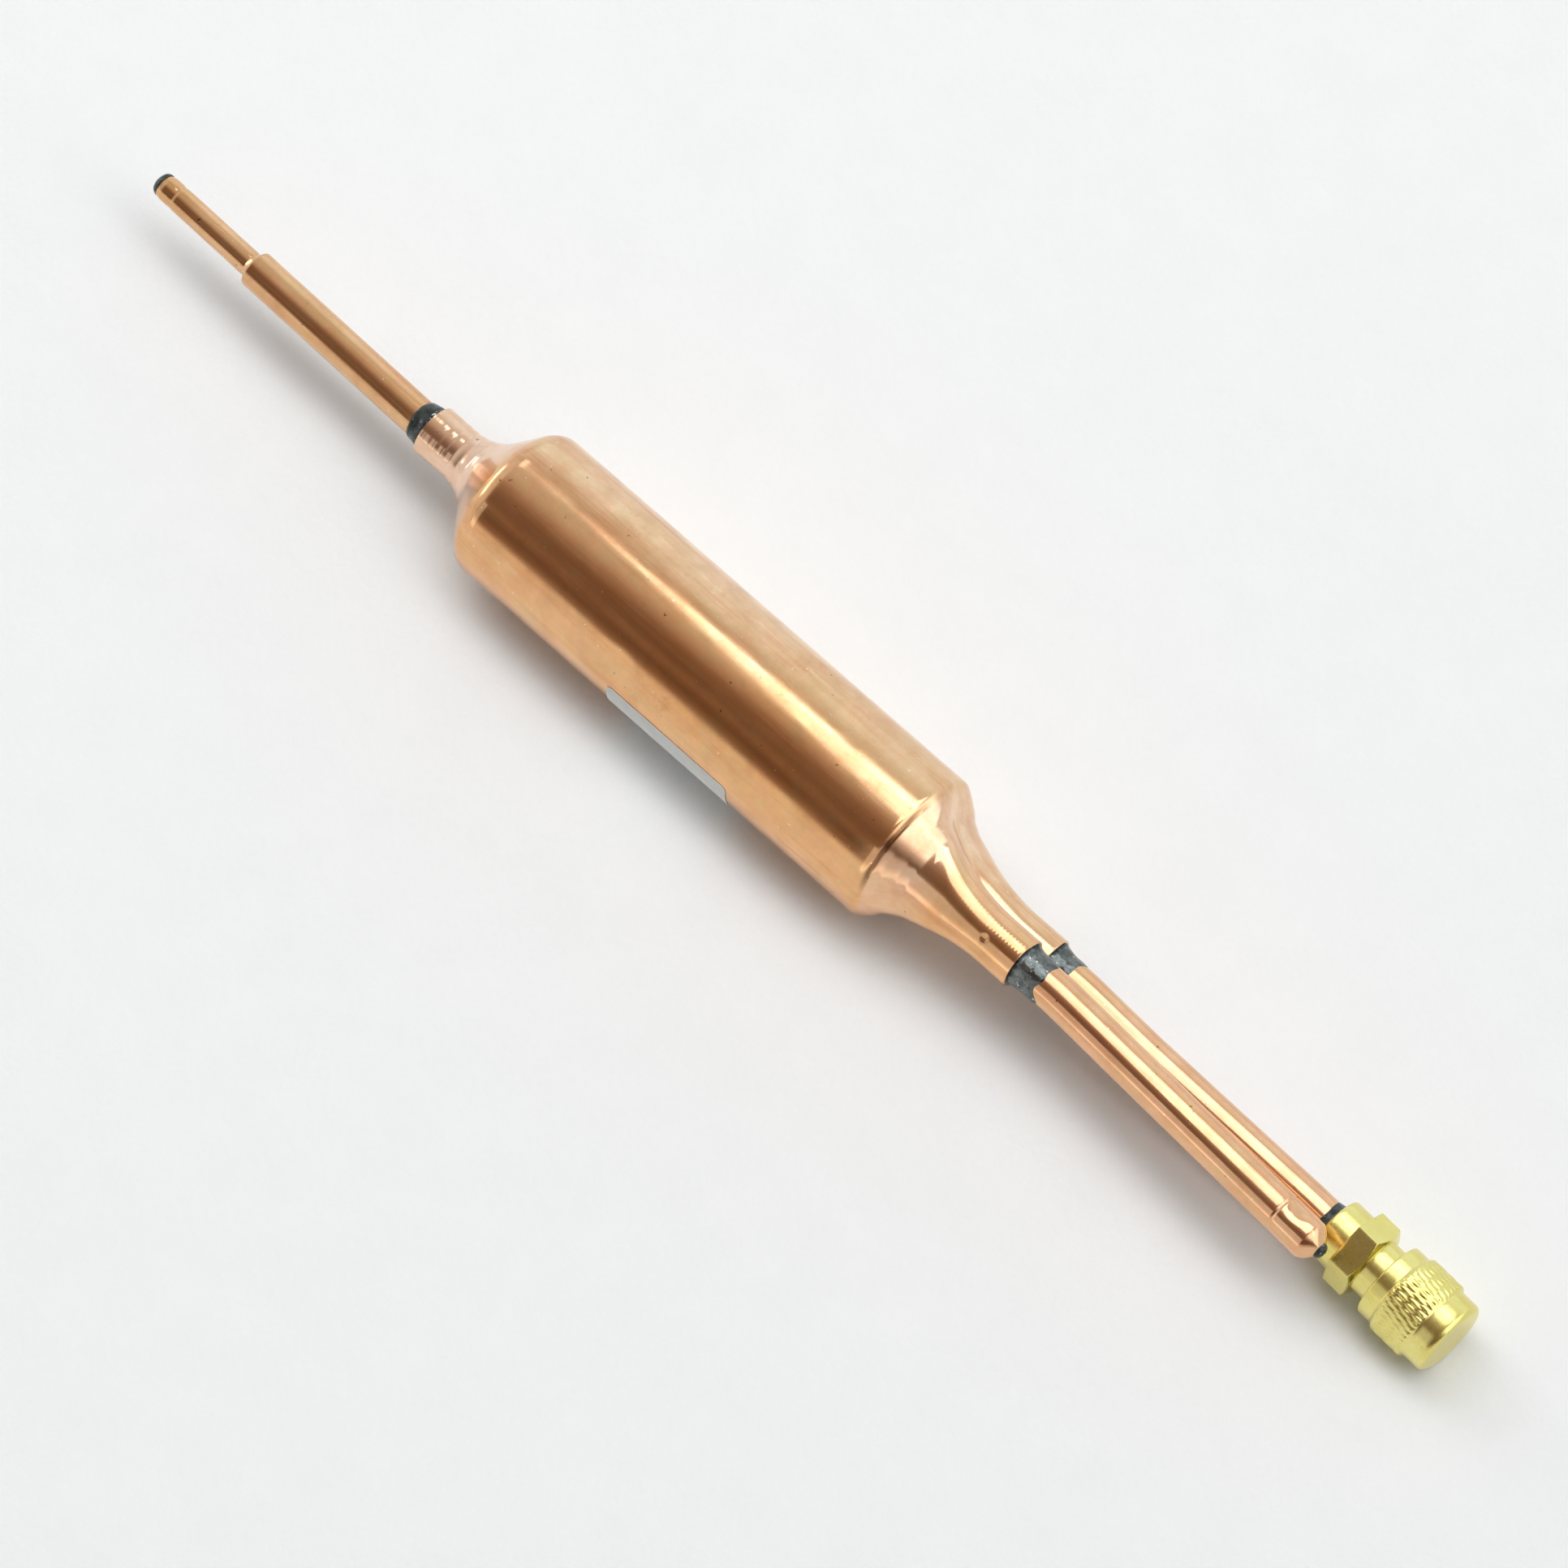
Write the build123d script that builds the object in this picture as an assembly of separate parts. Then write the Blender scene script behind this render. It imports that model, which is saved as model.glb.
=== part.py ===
from build123d import *
import math
import os

# Spun-copper refrigerant filter drier with one stepped outlet stub and a twin-bore inlet neck that holds a
# sealed 1/4 inch inlet stub and a process tube with a capped access valve. Millimetres.
# Origin on the drum's axis, halfway between its shoulders. +X runs along the drum towards the access valve,
# +Z is up with the drum lying down.

# ---- drum, spun from one length of tube ----
drum_od = 25.4
drum_length = 82.3
drum_wall = 0.9

# outlet end: rounded shoulder, steep cone, concave flare, straight neck
outlet_cone_angle = 49.5
outlet_shoulder_radius = 4.0
outlet_shoulder_share = 0.4
outlet_flare_radius = 8.7
outlet_neck_od = 8.4
outlet_neck_reach = 16.15

# inlet end: shallow cone pinched into two lobes, one for each tube
inlet_cone_angle = 32.5
inlet_shoulder_radius = 3.2
inlet_flare_radius = 3.0
lobe_od = 8.26
lobe_pitch = 8.3
lobe_flare_radius = 32.0
lobe_flare_angle = 31.0
lobe_mouth_angle = 56.0
lobe_flare_reach = 20.1
lobe_roll = 37.5
twin_offset_y = -0.46
inlet_neck_reach = 25.55
process_neck_reach = 26.45
lip_radius = 0.35

# ---- tubes ----
tube_od = 6.35
tube_wall = 0.76
outlet_large_od = 6.0
outlet_large_wall = 0.7
outlet_small_od = 4.1
outlet_small_wall = 0.65
braze_gap = 0.04
bend_radius = 70.0
bend_margin = 0.3
neck_grip = 7.5

outlet_large_reach = 54.35
outlet_step_length = 1.3
outlet_step_knee = 0.45
outlet_step_knee_depth = 0.12
outlet_small_reach = 74.35
outlet_lean_y = 0.9
outlet_lean_z = 0.6

inlet_lean_y = -3.0
inlet_lean_z = 0.0
inlet_cone_length = 2.2
inlet_mouth_od = 2.7
score_reach = 78.35
score_to_cone = 5.8
score_width = 0.6
score_depth = 0.16

process_bow_reach = 45.65
process_turn_lead = 4.6
process_lean_y = -2.3
process_second_lean_y = -0.6
process_lean_z = -2.16

# ---- braze fillets and beads ----
outlet_fillet_length = 2.7
outlet_fillet_od = 7.3
outlet_fillet_tip_od = 6.25
collar_fillet_length = 2.2
collar_od = 7.9
collar_coat = 0.09
collar_waist_coat = 0.144
fillet_belly_station = 0.35
fillet_belly_height = 0.3
inlet_collar_length = 4.7
process_collar_length = 4.0
outlet_bead_height = 1.2
outlet_bead_plug = 1.5
inlet_bead_height = 0.9
inlet_bead_plug = 0.5
valve_fillet_length = 1.6
valve_fillet_od = 6.9

# ---- access valve body, measured along its own axis from the collar's back face ----
valve_lean_y = -2.2
valve_reach = 83.25
valve_collar_od = 10.1
valve_collar_length = 3.9
hex_across_flats = 11.1
hex_length = 4.3
hex_chamfer_angle = 30.0
hex_face_od = 10.5
hex_roll = 24.0
relief_od = 9.1
relief_length = 3.2
thread_od = 11.0
thread_length = 7.6
thread_chamfer = 0.5
nose_od = 7.0
nose_length = 2.0
socket_depth = 5.0
back_bore_od = 4.4
back_bore_length = 9.2
core_seat_angle = 30.0
core_bore_od = 5.3
mouth_chamfer = 0.3

# ---- cap ----
cap_overhang = 0.4
cap_end_wall = 1.7
cap_od = 12.4
knurl_od = 13.5
knurl_start = 2.6
knurl_length = 6.7
knurl_bevel = 0.45
cap_rim_chamfer = 0.4
cap_end_radius = 1.1
thread_clearance = 0.06
gasket_thickness = 1.2
gasket_clearance = 0.05
seat_gap = 0.03

# ---- valve core ----
plug_length = 4.2
plug_flat_width = 3.4
plug_flat_length = 1.8
plug_inset = 1.3
gas_hole_od = 2.0
barrel_od = 3.7
barrel_bore_od = 2.7
barrel_length = 5.4
barrel_floor = 0.8
seal_length = 1.6
seal_groove_depth = 0.25
pin_od = 0.9
pin_inset = 0.35
pin_collar_od = 2.2
pin_collar_length = 0.4
cup_od = 3.6
cup_length = 1.5
cup_wall = 0.35
washer_thickness = 0.7
spring_wire = 0.26
spring_turns = 6
spring_od = 2.2
pin_clearance = 0.08
core_clearance = 0.05

# ---- filling ----
screen_thickness = 0.5
screen_depth = 2.6
screen_clearance = 0.05
screen_hole_od = 1.7
screen_hole_pitch = 2.6
screen_rings = 3
mesh_thickness = 0.3
pad_thickness = 2.0
bed_clearance = 0.1

# ---- label ----
label_width = 24.4
label_centre_x = 3.8
label_thickness = 0.08
label_start_angle = 81.0
label_sweep = 84.0


# ------------------------------------------------------------------------------------------------------
# Helpers
# ------------------------------------------------------------------------------------------------------
drum_r = drum_od / 2
half_length = drum_length / 2
bore_r = drum_r - drum_wall
tube_r = tube_od / 2
lobe_r = lobe_od / 2


def tan(angle):
    return math.tan(math.radians(angle))


def sin(angle):
    return math.sin(math.radians(angle))


def cos(angle):
    return math.cos(math.radians(angle))


def turned(points, plane=Plane.YZ):
    """A solid of revolution about the plane's normal from (station, radius) points."""
    outline = [Vector(r, 0, s) for s, r in points]
    face = make_face(Polyline(*outline, close=True))
    return plane.location * revolve(face, Axis.Z)


def along(direction, lean_y, lean_z):
    """Unit vector along -X or +X, leaned towards +Y and +Z by the two angles."""
    return Vector(direction, tan(lean_y), tan(lean_z)).normalized()


def at_reach(point, heading, reach):
    """The point on a line from `point` along `heading` whose distance from the drum's shoulder is `reach`."""
    side = 1 if heading.X > 0 else -1
    travel = (side * (half_length + reach) - point.X) / heading.X
    return point + heading * travel


def bend_past(root, heading, reach):
    """Corner of the first bend of a tube that leaves its neck along X, just past the braze at `reach`."""
    straight = Vector(1 if heading.X > 0 else -1, 0, 0)
    tangent_length = bend_radius * tan(heading.get_angle(straight) / 2)
    return at_reach(root, straight, reach + bend_margin + tangent_length)


def bent_tube(points, outer_r, inner_r):
    """Straight runs joined by tangent arcs, as a round tube."""
    path = FilletPolyline(*points, radius=bend_radius)
    section = Plane(origin=path @ 0, z_dir=path % 0) * (Circle(outer_r) - Circle(inner_r))
    return sweep(section, path=path)


# ------------------------------------------------------------------------------------------------------
# Drum shell
# ------------------------------------------------------------------------------------------------------
# The two lobe centres lie on a line rolled from vertical about the drum's axis: the inlet stub's is above.
lobe_half = lobe_pitch / 2
inlet_lobe = (-lobe_half * sin(lobe_roll) + twin_offset_y, lobe_half * cos(lobe_roll))
process_lobe = (lobe_half * sin(lobe_roll) + twin_offset_y, -lobe_half * cos(lobe_roll))
twin_r = lobe_half + lobe_r


def cone_station(corner, radius, angle, inset):
    """Where a cone through (corner, drum radius), moved inwards by `inset`, has the given radius.

    The angle is measured from the drum's axis, and the station counts from the drum's middle outwards.
    """
    return corner + (drum_r - radius) / tan(angle) - inset / sin(angle)


def drum_profile(inset, outlet_neck_r, twin_neck_r, outlet_end, twin_end, lip):
    """Half section of the drum and both ends as a face in the XZ plane, moved inwards by `inset`."""
    radius = drum_r - inset
    outlet_corner = half_length - outlet_shoulder_share * outlet_shoulder_radius * tan(outlet_cone_angle / 2)
    inlet_corner = half_length
    points = [
        (-outlet_end, 0),
        (-outlet_end, outlet_neck_r),
        (-cone_station(outlet_corner, outlet_neck_r, outlet_cone_angle, inset), outlet_neck_r),
        (-cone_station(outlet_corner, radius, outlet_cone_angle, inset), radius),
        (cone_station(inlet_corner, radius, inlet_cone_angle, inset), radius),
        (cone_station(inlet_corner, twin_neck_r, inlet_cone_angle, inset), twin_neck_r),
        (twin_end, twin_neck_r),
        (twin_end, 0),
    ]
    radii = [
        outlet_flare_radius + inset,
        outlet_shoulder_radius - inset,
        inlet_shoulder_radius - inset,
        inlet_flare_radius + inset,
    ]
    outline = Polyline(*[(x, 0, r) for x, r in points], close=True)
    face = make_face(outline)
    corners = [Vector(x, 0, r) for x, r in points[2:6]]
    if lip > 0:
        corners.append(Vector(-outlet_end, 0, outlet_neck_r))
        radii.append(lip)
    for corner, fillet_radius in zip(corners, radii):
        face = fillet(face.vertices().sort_by_distance(corner)[0], fillet_radius)
    return face


def trumpet(centre, inset, neck_r, end, lip):
    """One lobe: a straight neck that flares towards the drum until it covers the whole drum."""
    flare_r = lobe_flare_radius + inset
    root = half_length + lobe_flare_reach
    foot_x = root - flare_r * sin(lobe_flare_angle)
    foot_r = neck_r + flare_r * (1 - cos(lobe_flare_angle))
    wide_r = 2 * drum_r
    wide_x = foot_x - (wide_r - foot_r) / tan(lobe_mouth_angle)
    middle = lobe_flare_angle / 2
    arc_mid = (root - flare_r * sin(middle), 0, neck_r + flare_r * (1 - cos(middle)))
    outline = Wire(
        [
            Edge.make_line((end, 0, 0), (end, 0, neck_r)),
            Edge.make_line((end, 0, neck_r), (root, 0, neck_r)),
            Edge.make_three_point_arc((root, 0, neck_r), arc_mid, (foot_x, 0, foot_r)),
            Edge.make_line((foot_x, 0, foot_r), (wide_x, 0, wide_r)),
            Edge.make_line((wide_x, 0, wide_r), (-2 * drum_length, 0, wide_r)),
            Edge.make_line((-2 * drum_length, 0, wide_r), (-2 * drum_length, 0, 0)),
            Edge.make_line((-2 * drum_length, 0, 0), (end, 0, 0)),
        ]
    )
    face = Face(outline)
    if lip > 0:
        face = fillet(face.vertices().sort_by_distance((end, 0, neck_r))[0], lip)
    return Pos(0, *centre) * revolve(face, Axis.X)


def drum_form(inset, outlet_neck_r, lobe_neck_r, margin, lip):
    """The drum's outer form, or its cavity when `inset` is the wall and `margin` opens the ends."""
    outlet_end = half_length + outlet_neck_reach + margin
    inlet_end = half_length + inlet_neck_reach + margin
    process_end = half_length + process_neck_reach + margin
    twin_neck_r = twin_r - inset + abs(twin_offset_y)
    section = drum_profile(inset, outlet_neck_r, twin_neck_r, outlet_end, process_end, lip)
    lobes = trumpet(inlet_lobe, inset, lobe_neck_r, inlet_end, lip)
    lobes += trumpet(process_lobe, inset, lobe_neck_r, process_end, lip)
    return revolve(section, Axis.X) & lobes


shell_outer = drum_form(0, outlet_neck_od / 2, lobe_r, 0, lip_radius)
shell_cavity = drum_form(drum_wall, outlet_large_od / 2 + braze_gap, tube_r + braze_gap, drum_wall, 0)
drier_shell = shell_outer - shell_cavity


# ------------------------------------------------------------------------------------------------------
# Outlet stub: large tube in the neck, stepped down to a small one
# ------------------------------------------------------------------------------------------------------
outlet_large_r = outlet_large_od / 2
outlet_small_r = outlet_small_od / 2
outlet_heading = along(-1, outlet_lean_y, outlet_lean_z)
outlet_root = Vector(-(half_length + outlet_neck_reach - neck_grip), 0, 0)
outlet_bend = bend_past(outlet_root, outlet_heading, outlet_neck_reach + outlet_fillet_length)
outlet_step = at_reach(outlet_bend, outlet_heading, outlet_large_reach)
outlet_axis = Plane(origin=outlet_step, z_dir=outlet_heading)
small_length = (outlet_small_reach - outlet_large_reach) / abs(outlet_heading.X)
step_end = outlet_step_length

outlet_stub = bent_tube(
    [outlet_root, outlet_bend, outlet_step], outlet_large_r, outlet_large_r - outlet_large_wall
)
outlet_stub += turned(
    [
        (0, outlet_large_r),
        (step_end * outlet_step_knee, outlet_large_r - outlet_step_knee_depth),
        (step_end, outlet_small_r),
        (small_length, outlet_small_r),
        (small_length, outlet_small_r - outlet_small_wall),
        (step_end, outlet_small_r - outlet_small_wall),
        (0, outlet_large_r - outlet_large_wall),
    ],
    outlet_axis,
)


# ------------------------------------------------------------------------------------------------------
# Inlet stub: 1/4 inch tube, scored by a tube cutter and spun in at its end
# ------------------------------------------------------------------------------------------------------
inlet_heading = along(1, inlet_lean_y, inlet_lean_z)
inlet_root = Vector(half_length + inlet_neck_reach - neck_grip, *inlet_lobe)
inlet_bend = bend_past(inlet_root, inlet_heading, inlet_neck_reach + inlet_collar_length)
score_point = at_reach(inlet_bend, inlet_heading, score_reach)
inlet_axis = Plane(origin=score_point, z_dir=inlet_heading)
inlet_mouth_r = inlet_mouth_od / 2
inlet_bore_r = tube_r - tube_wall

inlet_stub = bent_tube([inlet_root, inlet_bend, score_point], tube_r, inlet_bore_r)
inlet_stub += turned(
    [
        (0, inlet_bore_r),
        (0, tube_r),
        (score_width / 2, tube_r - score_depth),
        (score_width, tube_r),
        (score_to_cone, tube_r),
        (score_to_cone + inlet_cone_length, inlet_mouth_r),
        (score_to_cone + inlet_cone_length, inlet_mouth_r - tube_wall),
        (score_to_cone, inlet_bore_r),
    ],
    inlet_axis,
)


# ------------------------------------------------------------------------------------------------------
# Process tube: gently bowed, and turned once more where it enters the valve
# ------------------------------------------------------------------------------------------------------
first_heading = along(1, process_lean_y, process_lean_z)
second_heading = along(1, process_second_lean_y, process_lean_z)
valve_heading = along(1, valve_lean_y, process_lean_z)
process_root = Vector(half_length + process_neck_reach - neck_grip, *process_lobe)
process_bend = bend_past(process_root, first_heading, process_neck_reach + process_collar_length)
process_bow = at_reach(process_bend, first_heading, process_bow_reach)
process_turn = at_reach(process_bow, second_heading, valve_reach - process_turn_lead)
valve_back = at_reach(process_turn, valve_heading, valve_reach)
process_end = valve_back + valve_heading * (socket_depth - seat_gap)

process_tube = bent_tube(
    [process_root, process_bend, process_bow, process_turn, process_end], tube_r, tube_r - tube_wall
)


# ------------------------------------------------------------------------------------------------------
# Braze
# ------------------------------------------------------------------------------------------------------
def neck_braze(tube_outer_r, foot_r, fillet_length, tip_r, total_length, coat, plane):
    """A concave fillet of filler from the neck's lip down to a thin coat on the tube."""
    belly_r = tip_r + (foot_r - tip_r) * fillet_belly_height
    points = [
        (0, tube_outer_r),
        (0, foot_r),
        (fillet_length * fillet_belly_station, belly_r),
        (fillet_length, tip_r),
    ]
    if total_length > fillet_length:
        points.append((total_length, tube_outer_r + coat))
    points.append((total_length, tube_outer_r))
    return turned(points, plane)


outlet_lip = Plane(origin=(-(half_length + outlet_neck_reach), 0, 0), z_dir=(-1, 0, 0))
inlet_lip = Plane(origin=(half_length + inlet_neck_reach, *inlet_lobe), z_dir=(1, 0, 0))
process_lip = Plane(origin=(half_length + process_neck_reach, *process_lobe), z_dir=(1, 0, 0))
collar_r = collar_od / 2
coat_r = tube_r + collar_waist_coat

outlet_neck_braze = neck_braze(
    outlet_large_r,
    outlet_fillet_od / 2,
    outlet_fillet_length,
    outlet_fillet_tip_od / 2,
    outlet_fillet_length,
    0,
    outlet_lip,
)
inlet_neck_braze = neck_braze(
    tube_r, collar_r, collar_fillet_length, coat_r, inlet_collar_length, collar_coat, inlet_lip
)
process_neck_braze = neck_braze(
    tube_r, collar_r, collar_fillet_length, coat_r, process_collar_length, collar_coat, process_lip
)


def sealing_bead(outer_r, inner_r, height, plug, plane):
    """A bead that plugs a tube's mouth and ends in a dome."""
    dome = [(height * sin(a), outer_r * cos(a)) for a in (0, 18, 36, 54, 72)]
    return turned([(-plug, 0), (-plug, inner_r), (0, inner_r), *dome, (height, 0)], plane)


outlet_mouth = Plane(origin=outlet_step + outlet_heading * small_length, z_dir=outlet_heading)
inlet_mouth = Plane(
    origin=score_point + inlet_heading * (score_to_cone + inlet_cone_length), z_dir=inlet_heading
)
outlet_tip_braze = sealing_bead(
    outlet_small_r, outlet_small_r - outlet_small_wall, outlet_bead_height, outlet_bead_plug, outlet_mouth
)
inlet_tip_braze = sealing_bead(
    inlet_mouth_r, inlet_mouth_r - tube_wall, inlet_bead_height, inlet_bead_plug, inlet_mouth
)


# ------------------------------------------------------------------------------------------------------
# Access valve body, in its own plane: z along the valve, x square to one flat of the hexagon
# ------------------------------------------------------------------------------------------------------
flat_normal = Vector(0, -sin(hex_roll), cos(hex_roll))
valve_x = (flat_normal - valve_heading * flat_normal.dot(valve_heading)).normalized()
valve_plane = Plane(origin=valve_back, x_dir=valve_x, z_dir=valve_heading)

hex_start = valve_collar_length
hex_end = hex_start + hex_length
thread_start = hex_end + relief_length
thread_end = thread_start + thread_length
nose_end = thread_end + nose_length
thread_r = thread_od / 2
nose_r = nose_od / 2
core_bore_r = core_bore_od / 2
back_bore_r = back_bore_od / 2
socket_r = tube_r + braze_gap
seat_start = socket_depth + back_bore_length
seat_end = seat_start + (core_bore_r - back_bore_r) / tan(core_seat_angle)


def local_turned(points):
    return turned(points, Plane.XY)


hex_r = hex_across_flats / 2
hex_corner_r = hex_r / cos(30)
hexagon = Pos(0, 0, hex_start) * extrude(Rot(0, 0, 30) * RegularPolygon(hex_corner_r, 6), hex_length)
hex_face_r = hex_face_od / 2
chamfer_drop = (hex_corner_r - hex_face_r) * tan(hex_chamfer_angle)
hexagon &= local_turned(
    [
        (hex_start, 0),
        (hex_start, hex_corner_r),
        (hex_end - chamfer_drop, hex_corner_r),
        (hex_end, hex_face_r),
        (hex_end, 0),
    ]
)
body_local = hexagon + local_turned(
    [
        (0, 0),
        (0, valve_collar_od / 2 - mouth_chamfer),
        (mouth_chamfer, valve_collar_od / 2),
        (hex_start, valve_collar_od / 2),
        (hex_start, relief_od / 2),
        (thread_start, relief_od / 2),
        (thread_start + thread_chamfer, thread_r),
        (thread_end, thread_r),
        (nose_end, nose_r),
        (nose_end, 0),
    ]
)
body_local -= local_turned(
    [
        (0, 0),
        (0, socket_r),
        (socket_depth, socket_r),
        (socket_depth, back_bore_r),
        (seat_start, back_bore_r),
        (seat_end, core_bore_r),
        (nose_end - mouth_chamfer, core_bore_r),
        (nose_end, core_bore_r + mouth_chamfer),
        (nose_end, 0),
    ]
)
valve_body = valve_plane.location * body_local

valve_braze = neck_braze(
    tube_r,
    valve_fillet_od / 2,
    valve_fillet_length,
    tube_r + collar_coat,
    valve_fillet_length,
    0,
    Plane(origin=valve_back, z_dir=-valve_heading),
)


# ------------------------------------------------------------------------------------------------------
# Cap and its gasket
# ------------------------------------------------------------------------------------------------------
cap_start = thread_start - cap_overhang
gasket_start = nose_end + gasket_clearance
cap_floor = gasket_start + gasket_thickness
cap_end = cap_floor + cap_end_wall
cap_r = cap_od / 2
knurl_r = knurl_od / 2
cap_bore_r = thread_r + thread_clearance
knurl_from = cap_start + knurl_start
knurl_to = knurl_from + knurl_length
round_steps = (0, 30, 60, 90)
cap_end_round = [
    (cap_end - cap_end_radius * (1 - sin(a)), cap_r - cap_end_radius * (1 - cos(a))) for a in round_steps
]

valve_cap = valve_plane.location * local_turned(
    [
        (cap_start, cap_bore_r),
        (cap_start, cap_r - cap_rim_chamfer),
        (cap_start + cap_rim_chamfer, cap_r),
        (knurl_from, cap_r),
        (knurl_from + knurl_bevel, knurl_r),
        (knurl_to - knurl_bevel, knurl_r),
        (knurl_to, cap_r),
        *cap_end_round,
        (cap_end, 0),
        (cap_floor, 0),
        (cap_floor, cap_bore_r),
    ]
)
cap_gasket = valve_plane.location * (
    Pos(0, 0, gasket_start) * extrude(Circle(cap_bore_r - gasket_clearance), gasket_thickness)
)


# ------------------------------------------------------------------------------------------------------
# Valve core: threaded plug, barrel with its seal, and the sprung pin with cup and washer
# ------------------------------------------------------------------------------------------------------
plug_top = nose_end - plug_inset
plug_bottom = plug_top - plug_length
barrel_top = plug_bottom - core_clearance
barrel_bottom = barrel_top - barrel_length
barrel_r = barrel_od / 2
pin_r = pin_od / 2
pin_hole_r = pin_r + pin_clearance
pin_tip = nose_end - pin_inset
plug_r = core_bore_r - core_clearance
gas_hole_r = gas_hole_od / 2

plug_blank = local_turned(
    [
        (plug_bottom, gas_hole_r),
        (plug_bottom, plug_r),
        (plug_top - mouth_chamfer, plug_r),
        (plug_top, plug_r - mouth_chamfer),
        (plug_top, gas_hole_r),
    ]
)
flats = Pos(0, 0, plug_top - plug_flat_length) * extrude(
    Circle(core_bore_od) - Rectangle(plug_flat_width, 2 * core_bore_od), plug_flat_length
)
core_plug = valve_plane.location * (plug_blank - flats)

seal_top = seat_end - core_clearance
seal_bottom = seal_top - seal_length
groove_r = barrel_r - seal_groove_depth
core_barrel = valve_plane.location * local_turned(
    [
        (barrel_bottom, pin_hole_r),
        (barrel_bottom, barrel_r),
        (seal_bottom, barrel_r),
        (seal_bottom, groove_r),
        (seal_top, groove_r),
        (seal_top, barrel_r),
        (barrel_top, barrel_r),
        (barrel_top, barrel_bore_od / 2),
        (barrel_bottom + barrel_floor, barrel_bore_od / 2),
        (barrel_bottom + barrel_floor, pin_hole_r),
    ]
)


def seat_radius(station):
    """Radius of the taper in the body at a station, less the seal's clearance."""
    return back_bore_r + (station - seat_start) * tan(core_seat_angle) - seat_gap


core_seal = valve_plane.location * local_turned(
    [
        (seal_bottom, groove_r),
        (seal_bottom, back_bore_r - seat_gap),
        (seat_start, back_bore_r - seat_gap),
        (seal_top, seat_radius(seal_top)),
        (seal_top, groove_r),
    ]
)

cup_top = barrel_bottom - seat_gap
washer_bottom = cup_top - washer_thickness
cup_bottom = cup_top - cup_length
cup_rim = cup_top - washer_thickness / 2
cup_r = cup_od / 2
spring_low = barrel_bottom + barrel_floor + seat_gap
spring_high = barrel_top - pin_collar_length - seat_gap

core_pin = valve_plane.location * local_turned(
    [
        (washer_bottom, 0),
        (washer_bottom, pin_r),
        (spring_high, pin_r),
        (spring_high, pin_collar_od / 2),
        (spring_high + pin_collar_length, pin_collar_od / 2),
        (spring_high + pin_collar_length, pin_r),
        (pin_tip - pin_r / 2, pin_r),
        (pin_tip, pin_r / 2),
        (pin_tip, 0),
    ]
)
core_cup = valve_plane.location * local_turned(
    [
        (cup_bottom, 0),
        (cup_bottom, cup_r - mouth_chamfer),
        (cup_bottom + mouth_chamfer, cup_r),
        (cup_rim, cup_r),
        (cup_rim, cup_r - cup_wall),
        (washer_bottom, cup_r - cup_wall),
        (washer_bottom, 0),
    ]
)
core_washer = valve_plane.location * local_turned(
    [
        (washer_bottom, pin_r),
        (washer_bottom, cup_r - cup_wall),
        (cup_top, cup_r - cup_wall),
        (cup_top, pin_r),
    ]
)

wire_r = spring_wire / 2
spring_mean_r = spring_od / 2 - wire_r
spring_height = spring_high - spring_low - spring_wire - 2 * seat_gap
helix = Pos(0, 0, spring_low + wire_r + seat_gap) * Helix(
    pitch=spring_height / spring_turns, height=spring_height, radius=spring_mean_r
)
wire_section = Plane(origin=helix @ 0, z_dir=helix % 0) * Circle(wire_r)
core_spring = valve_plane.location * sweep(wire_section, path=helix, is_frenet=True)


# ------------------------------------------------------------------------------------------------------
# Filling: perforated cups with wire cloth at both ends of the bead bed, and a pad at the outlet
# ------------------------------------------------------------------------------------------------------
screen_r = bore_r - screen_clearance


def screen(rim_x, side):
    """A perforated cup whose rim faces the drum's shoulder and whose floor carries the bed."""
    cup = turned(
        [
            (0, screen_r - screen_thickness),
            (0, screen_r),
            (screen_depth, screen_r),
            (screen_depth, 0),
            (screen_depth - screen_thickness, 0),
            (screen_depth - screen_thickness, screen_r - screen_thickness),
        ],
        Plane(origin=(rim_x, 0, 0), x_dir=(0, 0, 1), z_dir=(-side, 0, 0)),
    )
    holes = Sketch()
    for ring in range(screen_rings + 1):
        count = max(1, 6 * ring)
        holes += PolarLocations(ring * screen_hole_pitch, count) * Circle(screen_hole_od / 2)
    drill = extrude(Plane(origin=(rim_x, 0, 0), x_dir=(0, 0, 1), z_dir=(-side, 0, 0)) * holes, 2 * screen_depth)
    return cup - drill


inlet_rim_x = half_length - screen_depth
outlet_rim_x = -(half_length - outlet_shoulder_radius - screen_depth / 2)
inlet_floor_x = inlet_rim_x - screen_depth
outlet_floor_x = outlet_rim_x + screen_depth
inlet_screen = screen(inlet_rim_x, 1)
outlet_screen = screen(outlet_rim_x, -1)


def disc(x_from, x_to, radius):
    """A plain disc or plug across the drum."""
    return Plane(origin=(x_from, 0, 0), z_dir=(1, 0, 0)).location * extrude(Circle(radius), x_to - x_from)


inlet_mesh = disc(inlet_floor_x - mesh_thickness, inlet_floor_x, screen_r)
outlet_mesh = disc(outlet_floor_x, outlet_floor_x + mesh_thickness, screen_r)
outlet_pad = disc(outlet_floor_x + mesh_thickness, outlet_floor_x + mesh_thickness + pad_thickness, screen_r)
desiccant_bed = disc(
    outlet_floor_x + mesh_thickness + pad_thickness, inlet_floor_x - mesh_thickness, bore_r - bed_clearance
)


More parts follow.
